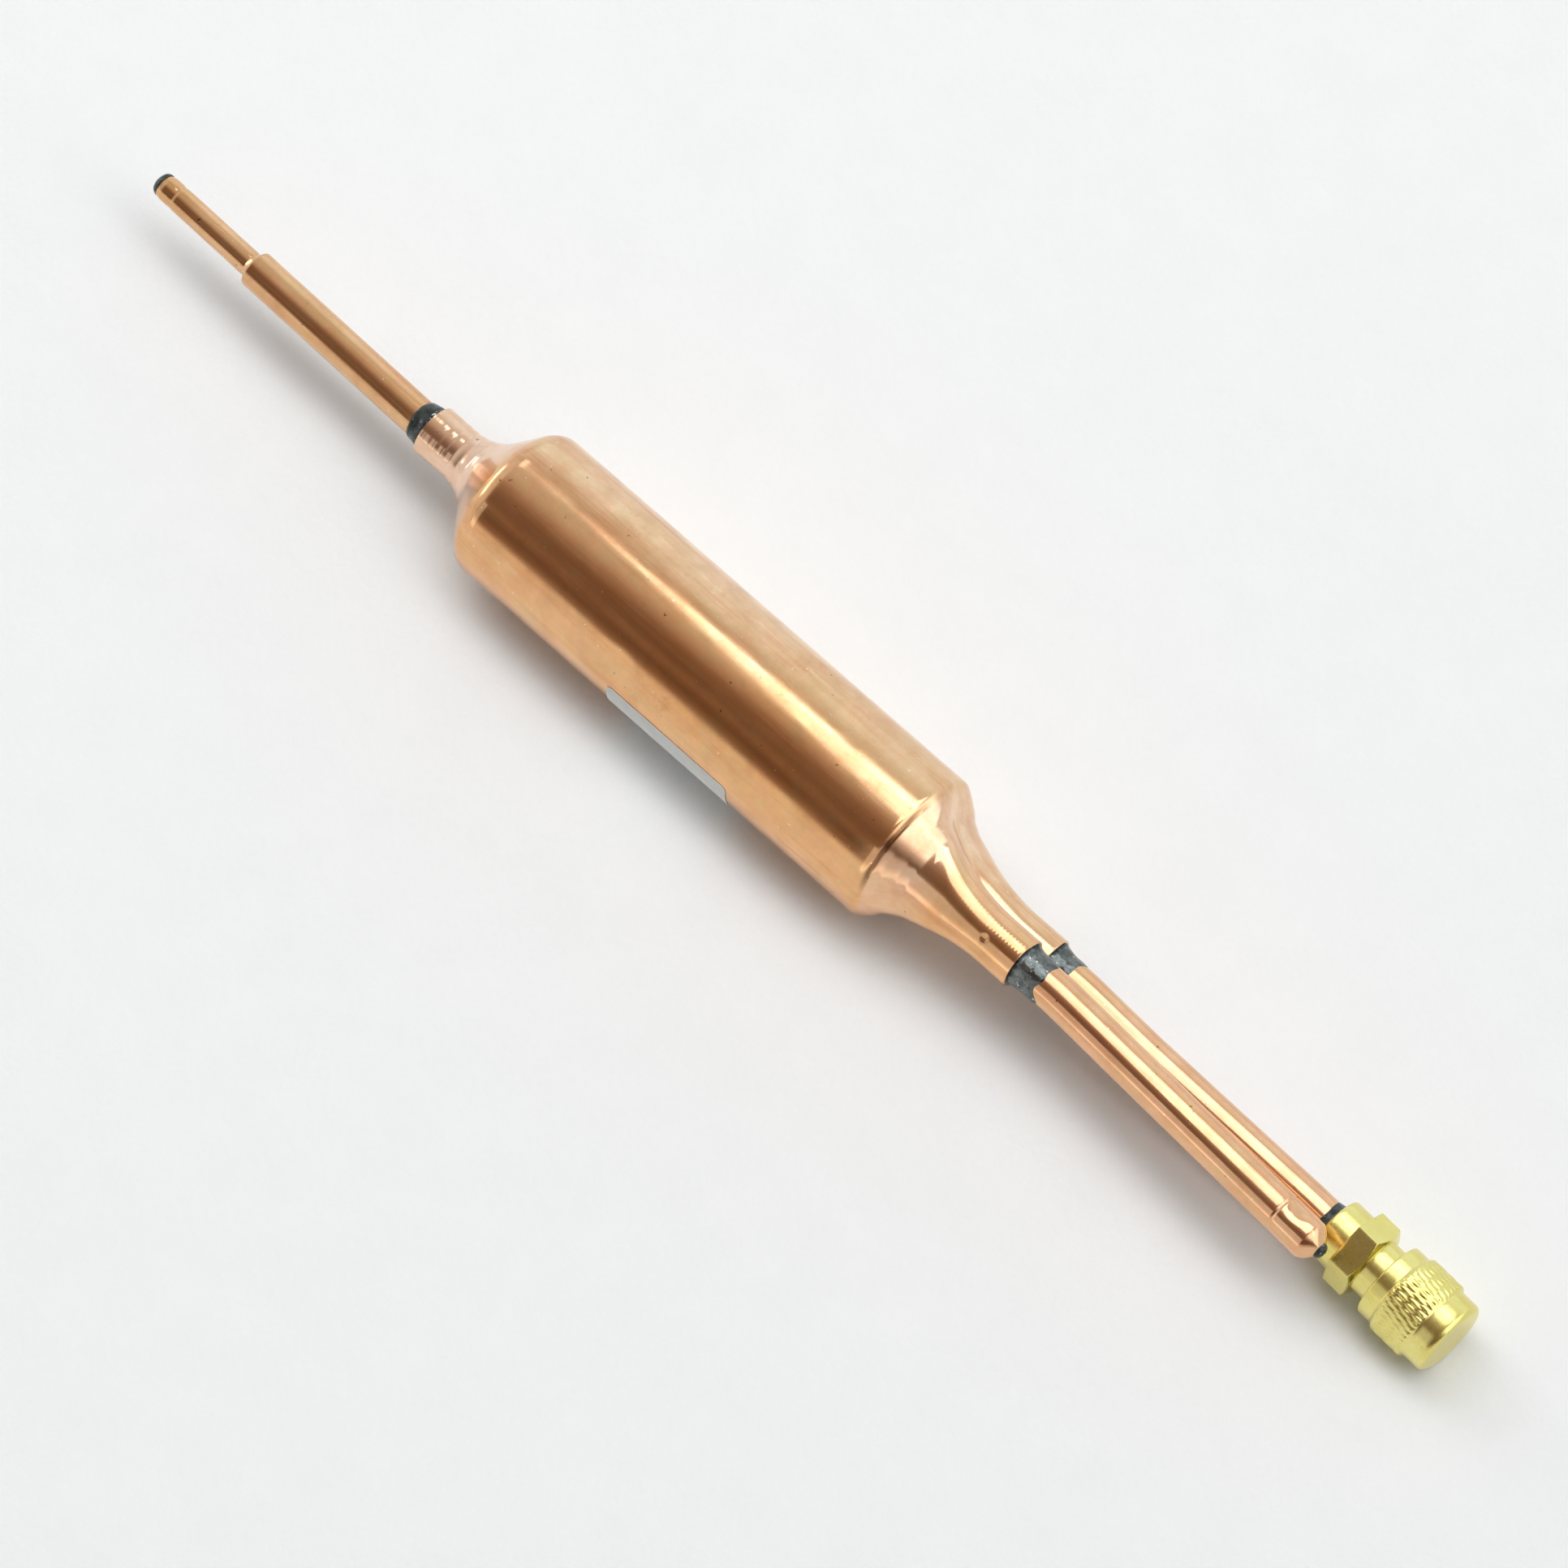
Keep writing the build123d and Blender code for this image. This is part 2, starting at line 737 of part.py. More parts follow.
# ------------------------------------------------------------------------------------------------------
# Label: a paper patch rolled onto the drum, from just above its side down towards the underside
# ------------------------------------------------------------------------------------------------------
label_outer_r = drum_r + label_thickness
label_ring = disc(label_centre_x - label_width / 2, label_centre_x + label_width / 2, label_outer_r)
label_ring -= disc(label_centre_x - label_width / 2, label_centre_x + label_width / 2, drum_r)
sector_reach = 2 * drum_od
sector_points = [
    (0, 0, 0),
    *[
        (0, -sector_reach * sin(a), sector_reach * cos(a))
        for a in (label_start_angle, label_start_angle + label_sweep / 2, label_start_angle + label_sweep)
    ],
]
sector = extrude(
    Pos(label_centre_x - label_width, 0, 0) * make_face(Polyline(*sector_points, close=True)),
    2 * label_width,
    dir=(1, 0, 0),
)
label = label_ring & sector


# ------------------------------------------------------------------------------------------------------
# One STEP file for each piece
# ------------------------------------------------------------------------------------------------------
pieces = {
    "drier_shell": drier_shell,
    "outlet_stub": outlet_stub,
    "outlet_neck_braze": outlet_neck_braze,
    "outlet_tip_braze": outlet_tip_braze,
    "inlet_stub": inlet_stub,
    "inlet_neck_braze": inlet_neck_braze,
    "inlet_tip_braze": inlet_tip_braze,
    "process_tube": process_tube,
    "process_neck_braze": process_neck_braze,
    "valve_braze": valve_braze,
    "valve_body": valve_body,
    "valve_cap": valve_cap,
    "cap_gasket": cap_gasket,
    "core_plug": core_plug,
    "core_barrel": core_barrel,
    "core_seal": core_seal,
    "core_pin": core_pin,
    "core_cup": core_cup,
    "core_washer": core_washer,
    "core_spring": core_spring,
    "inlet_screen": inlet_screen,
    "inlet_mesh": inlet_mesh,
    "outlet_screen": outlet_screen,
    "outlet_mesh": outlet_mesh,
    "outlet_pad": outlet_pad,
    "desiccant_bed": desiccant_bed,
    "label": label,
}

os.makedirs("parts", exist_ok=True)
for name, solid in pieces.items():
    export_step(solid, f"parts/{name}.step")
print(len(pieces), "pieces")
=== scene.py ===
from math import acos, ceil, copysign, cos, exp, pi, radians as deg, sin, sqrt, tan

import bpy
import numpy as np
from mathutils import Matrix, Vector
from mathutils.geometry import tessellate_polygon


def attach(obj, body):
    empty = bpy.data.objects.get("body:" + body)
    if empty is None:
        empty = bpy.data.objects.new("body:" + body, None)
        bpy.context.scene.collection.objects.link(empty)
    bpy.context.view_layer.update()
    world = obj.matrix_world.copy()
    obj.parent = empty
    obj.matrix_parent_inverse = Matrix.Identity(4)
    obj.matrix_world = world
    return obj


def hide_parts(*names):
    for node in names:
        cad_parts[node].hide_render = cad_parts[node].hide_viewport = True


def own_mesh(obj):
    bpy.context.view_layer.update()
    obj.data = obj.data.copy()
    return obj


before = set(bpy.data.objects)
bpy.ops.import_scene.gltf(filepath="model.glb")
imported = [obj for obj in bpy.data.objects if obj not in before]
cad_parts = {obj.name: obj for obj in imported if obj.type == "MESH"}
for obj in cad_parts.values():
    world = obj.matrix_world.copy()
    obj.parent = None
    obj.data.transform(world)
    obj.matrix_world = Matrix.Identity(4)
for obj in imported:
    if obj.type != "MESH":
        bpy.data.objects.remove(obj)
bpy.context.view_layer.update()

# All lengths below are millimetres in the part's frame; meshes are scaled to metres when they are made.
MM = 0.001
TAU = 2 * pi

# ---- shell. HALF is half of the drum's length between its corners; every reach is measured from there ----
DRUM_R = 12.7
HALF = 41.15
WALL = 0.9
OUTLET_ANGLE = 49.5
OUTLET_SHOULDER = 4.0
OUTLET_CORNER_SHIFT = 0.4
OUTLET_FLARE = 8.7
OUTLET_NECK_R = 4.2
OUTLET_BORE_R = 3.04
OUTLET_REACH = 16.15
OUTLET_NECK_END = HALF + OUTLET_REACH
INLET_ANGLE = 32.5
INLET_SHOULDER = 1.5
INLET_FLARE = 3.0
LOBE_R = 4.13
LOBE_HALF = 4.15
LOBE_ROLL = 37.5
LOBE_FLARE_R = 32.0
LOBE_FLARE_ANGLE = 31.0
LOBE_MOUTH_ANGLE = 56.0
LOBE_ROOT = HALF + 20.1
TWIN_Y = -0.46
INLET_REACH = 25.55
PROCESS_REACH = 26.45
INLET_NECK_END = HALF + INLET_REACH
PROCESS_NECK_END = HALF + PROCESS_REACH
BULKHEAD_X = HALF + 11.2
GROOVE_AT = 0.75
NECK_LIP = 0.3

# ---- tubes: reaches of their corners, and how far each runs straight out of its neck ----
TUBE_R = 3.175
TUBE_WALL = 0.76
BRAZE_GAP = 0.04
SOCKET_R = TUBE_R + BRAZE_GAP
BEND_R = 70.0
INSERTION = 7.5
OUTLET_RUN = 2.7
STUB_STEP_REACH = 54.35
STUB_END_REACH = 74.35
STUB_LARGE_R, STUB_SMALL_R = 3.0, 2.05
STUB_LARGE_BORE_R, STUB_SMALL_BORE_R = 2.3, 1.4
INLET_RUN = 4.7
SCORE_REACH = 78.35
SCORE_TO_CONE = 5.8
CONE_LENGTH = 2.2
CONE_MOUTH_R = 1.35
PROCESS_RUN = 4.0
BOW_REACH = 45.65
VALVE_REACH = 83.25
VALVE_RUN = 4.6
VALVE_SOCKET = 4.97

# ---- sampling ----
DRUM_SEGMENTS = 176
SOCKET_SEGMENTS = 64
TUBE_SEGMENTS = 72
VALVE_SEGMENTS = 216
CAP_SEGMENTS = 460


def smoothstep(x, low, high):
    t = np.clip((np.asarray(x, float) - low) / (high - low), 0, 1)
    return t * t * (3 - 2 * t)


def smooth_min(a, b, k):
    h = np.clip(0.5 + 0.5 * (b - a) / k, 0, 1)
    return b * (1 - h) + a * h - k * h * (1 - h)


def smooth_max(a, b, k):
    return -smooth_min(-a, -b, k)


def wobble(phi, s, seed, scale=1.0):
    """Smooth closed noise of about unit size over an angle and a length."""
    rng = np.random.default_rng(seed)
    total = 0
    for k in range(1, 7):
        phase, slope = rng.uniform(0, TAU, 2)
        total = total + np.sin(k * phi + phase + (slope - pi) * s * scale) / k ** 0.6
    return total / 2.2


def scallop(x, pitch):
    """Roller marks: round crests between sharp valleys, 0 in the valley and 1 on the crest."""
    return np.abs(np.sin(pi * np.asarray(x) / pitch))


def round_angles(count):
    return np.linspace(0, TAU, count, endpoint=False)


def circle(centre, first, second, radius, phi):
    """Points at angles phi round a centre, in the plane of two unit vectors."""
    return centre + np.outer(np.cos(phi) * radius, first) + np.outer(np.sin(phi) * radius, second)


def new_object(name, data):
    obj = bpy.data.objects.new(name, data)
    bpy.context.scene.collection.objects.link(obj)
    return obj


def posed(x, y, z, place):
    """A world matrix from an object's axes and place."""
    return Matrix([[x[i], y[i], z[i], place[i]] for i in range(3)] + [[0, 0, 0, 1]])


# ---- Mesh building ----
def quads_between(first, second):
    """Faces between two closed loops of vertex numbers."""
    return np.stack([first, np.roll(first, -1), np.roll(second, -1), second], axis=1)


def make_mesh(name, verts, faces, sharp=32):
    mesh = bpy.data.meshes.new(name)
    points = [tuple(v) for v in np.asarray(verts) * MM]
    mesh.from_pydata(points, [], [tuple(int(i) for i in face) for face in faces])
    mesh.validate()
    mesh.update()
    mesh.polygons.foreach_set("use_smooth", [True] * len(mesh.polygons))
    mesh.set_sharp_from_angle(angle=deg(sharp))
    return new_object(name, mesh)


def ring_faces(count, segments, loop):
    numbers = np.arange(count * segments).reshape(count, segments)
    faces = [quads_between(numbers[i], numbers[i + 1]) for i in range(count - 1)]
    if loop:
        faces.append(quads_between(numbers[-1], numbers[0]))
    return np.concatenate(faces), numbers


def ring_mesh(name, rings, loop=False, caps=(False, False), sharp=32):
    """A mesh through an array of rings (ring, segment, xyz), closed into a loop or with flat caps."""
    rings = np.asarray(rings, float)
    faces, numbers = ring_faces(len(rings), rings.shape[1], loop)
    faces = [tuple(f) for f in faces]
    if caps[0]:
        faces.append(tuple(numbers[0][::-1]))
    if caps[1]:
        faces.append(tuple(numbers[-1]))
    return make_mesh(name, rings.reshape(-1, 3), faces, sharp)


def dress(obj, material, node_name, body="drier"):
    """Gives a piece its material and body, and hides the CAD node that it stands for."""
    obj.data.materials.append(material)
    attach(obj, body)
    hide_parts(node_name)


def rounded(points, radii, step):
    """Points along a polyline whose inner corners are rounded: straight runs and arcs at about `step`."""
    points = [np.array(p, float) for p in points]
    out = [points[0]]
    for i in range(1, len(points) - 1):
        back = points[i - 1] - points[i]
        ahead = points[i + 1] - points[i]
        back /= np.linalg.norm(back)
        ahead /= np.linalg.norm(ahead)
        half = acos(np.clip(back @ ahead, -1, 1)) / 2
        radius = radii[i - 1]
        cut = radius / tan(half)
        start, end = points[i] + back * cut, points[i] + ahead * cut
        centre = points[i] + (back + ahead) / np.linalg.norm(back + ahead) * radius / sin(half)
        sweep = pi - 2 * half
        n = max(2, ceil(radius * sweep / step))
        out.extend(run(out[-1], start, step))
        for t in np.linspace(0, 1, n + 1)[1:]:
            from_start = sin((1 - t) * sweep) / sin(sweep)
            from_end = sin(t * sweep) / sin(sweep)
            out.append(centre + (start - centre) * from_start + (end - centre) * from_end)
    out.extend(run(out[-1], points[-1], step))
    return np.array(out)


def run(start, end, step):
    n = max(1, ceil(np.linalg.norm(end - start) / step))
    return [start + (end - start) * t for t in np.linspace(0, 1, n + 1)[1:]]


# ---- Copper shell: drum, spun outlet neck and twin-lobed inlet neck ----
def cone_x(corner, radius, angle, inset):
    return corner + (DRUM_R - radius) / tan(deg(angle)) - inset / sin(deg(angle))


def drum_profile(inset, outlet_neck_r, step):
    radius = DRUM_R - inset
    outlet_corner = HALF - OUTLET_SHOULDER * tan(deg(OUTLET_ANGLE / 2)) * OUTLET_CORNER_SHIFT
    twin_r = LOBE_HALF + LOBE_R - inset + abs(TWIN_Y)
    points = [
        (-OUTLET_NECK_END, outlet_neck_r),
        (-cone_x(outlet_corner, outlet_neck_r, OUTLET_ANGLE, inset), outlet_neck_r),
        (-cone_x(outlet_corner, radius, OUTLET_ANGLE, inset), radius),
        (cone_x(HALF, radius, INLET_ANGLE, inset), radius),
        (cone_x(HALF, twin_r, INLET_ANGLE, inset), twin_r),
        (PROCESS_NECK_END, twin_r),
    ]
    radii = [OUTLET_FLARE + inset, OUTLET_SHOULDER - inset, INLET_SHOULDER - inset, INLET_FLARE + inset]
    return rounded(points, radii, step)


def trumpet_r(x, inset):
    flare = LOBE_FLARE_R + inset
    neck = LOBE_R - inset
    foot_x = LOBE_ROOT - flare * sin(deg(LOBE_FLARE_ANGLE))
    foot_r = neck + flare * (1 - cos(deg(LOBE_FLARE_ANGLE)))
    arc = neck + flare - np.sqrt(np.maximum(flare ** 2 - (LOBE_ROOT - x) ** 2, 1e-9))
    wide = foot_r + (foot_x - x) * tan(deg(LOBE_MOUTH_ANGLE))
    return np.where(x >= LOBE_ROOT, neck, np.where(x > foot_x, arc, wide))


pitch_y, pitch_z = -sin(deg(LOBE_ROLL)), cos(deg(LOBE_ROLL))


def lobed_radius(x, phi, profile_r, inset, web):
    """Radius of the drum's form about a centre that moves from the drum's axis to between the lobes."""
    centre_y = TWIN_Y * smoothstep(x, HALF - 2, HALF + 8)
    uy, uz = np.cos(phi), np.sin(phi)
    dot = -centre_y * uy
    circle = dot + np.sqrt(np.maximum(profile_r ** 2 - centre_y ** 2 + dot ** 2, 0))
    lobe_r = trumpet_r(x, inset)
    lobe = None
    for side in (1, -1):
        dy = TWIN_Y + side * LOBE_HALF * pitch_y - centre_y
        dz = side * LOBE_HALF * pitch_z
        dot = dy * uy + dz * uz
        reach = dot + np.sqrt(np.maximum(lobe_r ** 2 - (dy ** 2 + dz ** 2) + dot ** 2, 0))
        reach = np.where(dot < 0, np.minimum(reach, np.maximum(lobe_r - LOBE_HALF, 0) * 3), reach)
        lobe = reach if lobe is None else smooth_max(lobe, reach, 1.1)
    lobe = smooth_max(lobe, web, 0.9)
    return smooth_min(circle, lobe, 0.9), centre_y


def end_x(phi):
    """The twin neck's end: the process lobe reaches a little further than the inlet lobe."""
    towards_inlet = np.cos(phi) * pitch_y + np.sin(phi) * pitch_z
    return PROCESS_NECK_END - (PROCESS_NECK_END - INLET_NECK_END) * smoothstep(towards_inlet, -0.25, 0.25)


# Dents: station, angle round the axis from +Y, radius, depth. The first two are placed from the photograph.
DENTS = [
    (60.75, 124.5, 0.62, 0.20), (56.0, 23.0, 0.32, 0.10), (21.75, 105.0, 0.7, 0.03),
    (-21.0, 118.0, 1.6, 0.03), (6.0, 60.0, 2.4, 0.035), (-8.0, 150.0, 2.8, 0.04),
    (27.0, 75.0, 1.9, 0.03), (31.0, 170.0, 2.6, 0.05), (-30.0, 200.0, 3.0, 0.05),
    (18.0, 300.0, 3.4, 0.07), (-14.0, 255.0, 2.2, 0.05),
]


def shell_marks(x, phi, radius):
    """Roller rings on the necks and cones, the spun groove, slow waviness on the drum, and dents."""
    turned = np.zeros_like(radius)
    inlet_zone = smoothstep(x, HALF + 0.9, HALF + 1.7) * (1 - smoothstep(x, HALF + 3.6, HALF + 8.0))
    outlet_zone = smoothstep(-x, HALF + 5.0, HALF + 6.5) * (1 - smoothstep(-x, HALF + 13.0, HALF + 15.0))
    turned += 0.055 * inlet_zone * (scallop(x - HALF, 2.1) - 1)
    turned += 0.085 * outlet_zone * (scallop(x + HALF, 1.6) - 1)
    facing = smoothstep(np.cos(phi - deg(122)), 0.62, 0.86)
    turned -= 0.16 * facing * np.exp(-((x - HALF - GROOVE_AT) / 0.22) ** 2)
    fine_inlet = smoothstep(x, HALF + 12, HALF + 15)
    fine_outlet = smoothstep(-x, HALF + 9, HALF + 12)
    turned += 0.011 * fine_inlet * np.sin(TAU * x / 0.62) + 0.008 * fine_outlet * np.sin(TAU * x / 0.55)
    turned += 0.012 * (wobble(phi, x, 3, 0.05) - 2.0) * (np.abs(x) < HALF + 6)
    for station, angle, size, depth in DENTS:
        away = np.angle(np.exp(1j * (phi - deg(angle)))) * radius
        distance = np.sqrt((x - station) ** 2 + away ** 2) / size
        turned += -depth * np.exp(-distance ** 4) + 0.25 * depth * np.exp(-(distance - 1.35) ** 2 * 6)
    return np.minimum(turned - 0.012, -0.002)


def shell_rings(profile, inset, web, marks):
    phi = round_angles(DRUM_SEGMENTS)
    rings = []
    for x, profile_r in profile:
        station = np.full_like(phi, x)
        if x > LOBE_ROOT:
            share = (x - LOBE_ROOT) / (PROCESS_NECK_END - LOBE_ROOT)
            station = LOBE_ROOT + share * (end_x(phi) - LOBE_ROOT)
        radius, centre_y = lobed_radius(x, phi, profile_r, inset, web)
        if x < 0:
            radius = np.full_like(phi, profile_r)
        if marks:
            radius = radius + shell_marks(station, phi, radius)
        rings.append(np.stack([station, centre_y + radius * np.cos(phi), radius * np.sin(phi)], axis=1))
    return rings


def socket_loop(x, y, z):
    return circle(np.array([x, y, z]), [0, 1, 0], [0, 0, 1], SOCKET_R, round_angles(SOCKET_SEGMENTS))


# The middle of each neck's mouth.
outlet_lip = np.array([-OUTLET_NECK_END, 0, 0])
inlet_lip, process_lip = (
    np.array([end, TWIN_Y + side * LOBE_HALF * pitch_y, side * LOBE_HALF * pitch_z])
    for side, end in ((1, INLET_NECK_END), (-1, PROCESS_NECK_END)))


def build_shell():
    """Outer and inner skins, and the two sockets bored through the solid twin neck."""
    outer_profile = drum_profile(0, OUTLET_NECK_R, 0.22)
    keep = [outer_profile[0]]
    for point in outer_profile[1:]:
        plain = -HALF + 2 < point[0] < HALF - 1.5
        if np.linalg.norm(point - keep[-1]) >= (0.75 if plain else 0.19):
            keep.append(point)
    outer = shell_rings(keep, 0, 0.55, True)
    outer[0] = outer[0] * [1, 0, 0] + outer[0] * [0, 1, 1] * (1 - NECK_LIP / OUTLET_NECK_R)
    last = outer[-1].copy()
    centre = np.array([0, TWIN_Y, 0])
    for back, inward in ((NECK_LIP, 0.0), (NECK_LIP * 0.3, NECK_LIP * 0.3), (0.0, NECK_LIP)):
        ring = last.copy()
        spoke = (last - centre) * [0, 1, 1]
        length = np.linalg.norm(spoke, axis=1, keepdims=True)
        ring[:, 0] -= back
        ring -= spoke / length * np.minimum(inward, length * 0.3)
        if back == NECK_LIP:
            outer[-1] = ring
        else:
            outer.append(ring)

    inner_profile = [p for p in drum_profile(WALL, OUTLET_BORE_R, 1.4) if p[0] < BULKHEAD_X]
    inner_profile.append(np.array([BULKHEAD_X, inner_profile[-1][1]]))
    inner = shell_rings(inner_profile, WALL, 0.3, False)[::-1]
    rings = inner + outer
    faces, numbers = ring_faces(len(rings), DRUM_SEGMENTS, False)
    faces = [tuple(f) for f in faces]
    verts = [np.concatenate(rings)]
    total = len(verts[0])

    mouth_loops, floor_loops = [], []
    for end, y, z in (inlet_lip, process_lip):
        verts += [socket_loop(end - 0.02, y, z), socket_loop(BULKHEAD_X, y, z)]
        mouth = np.arange(total, total + SOCKET_SEGMENTS)
        floor = mouth + SOCKET_SEGMENTS
        total += 2 * SOCKET_SEGMENTS
        faces += [tuple(f) for f in quads_between(mouth, floor)]
        mouth_loops.append(mouth)
        floor_loops.append(floor)
    points = np.concatenate(verts)

    def fill(outer_loop, holes, outward):
        """Flat faces between a loop and the holes in it, all turned the same way."""
        loops = [outer_loop, *holes]
        order = np.concatenate(loops)
        shapes = [[Vector((points[i][1], points[i][2], 0)) for i in loop] for loop in loops]
        for a, b, c in tessellate_polygon(shapes):
            tri = [order[a], order[b], order[c]]
            p, q, r = (points[i] for i in tri)
            facing = np.cross((q - p)[1:], (r - p)[1:])
            faces.append(tuple(tri if (facing > 0) == outward else tri[::-1]))

    fill(numbers[-1], mouth_loops, True)
    fill(numbers[0], floor_loops, False)
    return make_mesh("shell_skin", points, faces, 40)


# ---- Tubes ----
def heading(direction, lean_y, lean_z):
    v = np.array([direction, tan(deg(lean_y)), tan(deg(lean_z))])
    return v / np.linalg.norm(v)


def at_reach(point, way, reach):
    """Where a line through a point comes to a reach, at the end of the drum that it heads for."""
    side = 1 if way[0] > 0 else -1
    return point + way * (side * (HALF + reach) - point[0]) / way[0]


def bend_past(root, way, reach):
    """The corner of a bend that begins just past a reach and turns a straight tube to its lean."""
    straight = np.array([copysign(1, way[0]), 0, 0])
    angle = acos(np.clip(straight @ way, -1, 1))
    return at_reach(root, straight, reach + 0.3 + BEND_R * tan(angle / 2))


class Path:
    """A polyline with arcs at its corners: place and frame at any length along it."""

    def __init__(self, points):
        line = np.array(points, float)
        if len(points) > 2:
            line = rounded(points, [BEND_R] * (len(points) - 2), 0.25)
        step = np.linalg.norm(np.diff(line, axis=0), axis=1)
        self.line = line
        self.at = np.concatenate([[0], np.cumsum(step)])
        self.length = self.at[-1]

    def point(self, s):
        return np.array([np.interp(s, self.at, self.line[:, k]) for k in range(3)])

    def place(self, s):
        inside = np.clip(s, 0, self.length)
        low, high = np.clip(inside - 0.6, 0, self.length), np.clip(inside + 0.6, 0, self.length)
        way = self.point(high) - self.point(low)
        way /= np.linalg.norm(way)
        side = np.cross([0.0, 0.0, 1.0], way)
        side /= np.linalg.norm(side)
        return self.point(inside) + way * (s - inside), side, np.cross(way, side), way


def tube_rings(path, stations, radius_at, segments):
    """Rings across a path, at stations (s, inside). `radius_at(s, phi, inside)` gives each ring's radius."""
    phi = round_angles(segments)
    return [circle(*path.place(s)[:3], radius_at(s, phi, inside), phi) for s, inside in stations]


outlet_way = heading(-1, 0.9, 0.6)
outlet_root = outlet_lip + [INSERTION, 0, 0]
outlet_bend = bend_past(outlet_root, outlet_way, OUTLET_REACH + OUTLET_RUN)
outlet_step = at_reach(outlet_bend, outlet_way, STUB_STEP_REACH)
outlet_mouth = at_reach(outlet_bend, outlet_way, STUB_END_REACH)
inlet_way = heading(1, -3.0, 0.0)
inlet_root = inlet_lip - [INSERTION, 0, 0]
inlet_bend = bend_past(inlet_root, inlet_way, INLET_REACH + INLET_RUN)
inlet_score = at_reach(inlet_bend, inlet_way, SCORE_REACH)
inlet_cone = inlet_score + inlet_way * SCORE_TO_CONE
first_way = heading(1, -2.3, -2.16)
second_way = heading(1, -0.6, -2.16)
valve_way = heading(1, -2.2, -2.16)
process_root = process_lip - [INSERTION, 0, 0]
process_bend = bend_past(process_root, first_way, PROCESS_REACH + PROCESS_RUN)
process_bow = at_reach(process_bend, first_way, BOW_REACH)
process_turn = at_reach(process_bow, second_way, VALVE_REACH - VALVE_RUN)
valve_back = at_reach(process_turn, valve_way, VALVE_REACH)
process_end = valve_back + valve_way * VALVE_SOCKET


def spaced(start, stop, step):
    """Even stations from start to stop, about a step apart."""
    return list(np.linspace(start, stop, max(2, ceil(abs(stop - start) / step) + 1)))


def build_outlet_stub():
    path = Path([outlet_root, outlet_bend, outlet_mouth])
    step_at = path.length - np.linalg.norm(outlet_mouth - outlet_step)
    large, small = STUB_LARGE_R, STUB_SMALL_R
    near_step = (-0.3, -0.12, 0.02, 0.15, 0.3, 0.45, 0.6, 0.8, 1.0, 1.2, 1.45, 1.7)
    stations = [(s, False) for s in [0.0, 7.0, *spaced(7.8, step_at - 0.5, 0.9)]]
    stations += [(step_at + d, False) for d in near_step]
    stations += [(s, False) for s in spaced(step_at + 1.8, path.length - 0.05, 0.11)]
    stations += [(path.length, False), *((s, True) for s in (path.length, step_at + 1.3, step_at, 0.0))]

    def radius_at(s, phi, inside):
        d = s - step_at
        tip = path.length - s
        if inside:
            return STUB_SMALL_BORE_R if d > 0.7 else STUB_LARGE_BORE_R
        if d < -0.2:
            return large + 0.012 * wobble(phi, s, 5, 0.12)
        keys = [-0.2, 0.0, 0.12, 0.3, 0.62, 1.0, 1.5]
        radii = [large, large - 0.05, large - 0.22, large - 0.62, small + 0.12, small - 0.06, small]
        body = np.interp(d, keys, radii)
        if d > 1.5:
            ripple = exp(-((d - 6.5) / 4.6) ** 2)
            body = body + 0.013 * ripple * sin(TAU * s / 0.42) + 0.01 * wobble(phi, s, 6, 0.4)
        body = body - 0.10 * exp(-((tip - 3.0) / 0.45) ** 2) * (0.7 + 0.5 * np.cos(phi - 1.7))
        body = body - 0.16 * float(smoothstep(1.2 - tip, 0, 1.2))
        return body

    return ring_mesh("outlet_tube", tube_rings(path, stations, radius_at, TUBE_SEGMENTS), loop=True)


def build_inlet_stub():
    path = Path([inlet_root, inlet_bend, inlet_cone])
    score = path.length - np.linalg.norm(inlet_cone - inlet_score)
    end = path.length + CONE_LENGTH
    stations = [(s, False) for s in [0.0, 7.0, *spaced(7.8, score - 1.5, 0.9)]]
    stations += [(s, False) for s in spaced(score - 1.4, end - 0.02, 0.1)]
    stations += [(end, False), (end, True), (path.length, True), (score, True), (0.0, True)]
    # Dents: station, angle, width, depth, length.
    dents = [
        (score + 1.7, 62, 1.5, 0.26, 0.9), (score + 2.6, 78, 1.1, 0.20, 1.2),
        (score + 3.4, 55, 1.3, 0.14, 0.8), (score - 9.0, 330, 2.6, 0.05, 2.0),
        (score - 19.0, 20, 2.2, 0.05, 1.6), (score + 3.9, 330, 1.5, 0.12, 1.2),
    ]

    def radius_at(s, phi, inside):
        over = max(0.0, s - path.length)
        taper = over / CONE_LENGTH
        if inside:
            return (TUBE_R - TUBE_WALL) * (1 - taper) + (CONE_MOUTH_R - TUBE_WALL) * taper
        drop = (TUBE_R - CONE_MOUTH_R) * (0.35 * taper + 0.65 * taper ** 2.0)
        body = TUBE_R - drop + 0.008 * wobble(phi, s, 8, 0.1)
        body = body - 0.16 * exp(-((s - score - 0.3) / 0.2) ** 2)
        body = body + 0.03 * exp(-((s - score + 0.15) / 0.16) ** 2)
        for at, angle, size, depth, length in dents:
            away = np.angle(np.exp(1j * (phi - deg(angle)))) * TUBE_R
            body = body - depth * np.exp(-((s - at) / length) ** 2 - (away / size) ** 2)
        if over > 0:
            body = body + 0.07 * sin(pi * taper) * wobble(phi, s, 9, 0.5)
        return body

    return ring_mesh("inlet_tube", tube_rings(path, stations, radius_at, TUBE_SEGMENTS), loop=True)


def build_process_tube():
    path = Path([process_root, process_bend, process_bow, process_turn, process_end])
    stations = [(s, False) for s in spaced(0, path.length, 0.8)]
    stations += [(path.length, True), *[(s, True) for s in spaced(path.length - 4, 0, 8)]]

    def radius_at(s, phi, inside):
        if inside:
            return TUBE_R - TUBE_WALL
        return TUBE_R + 0.007 * wobble(phi, s, 11, 0.09) * float(smoothstep(path.length - s, 5, 8))

    return ring_mesh("process_line", tube_rings(path, stations, radius_at, TUBE_SEGMENTS), loop=True)


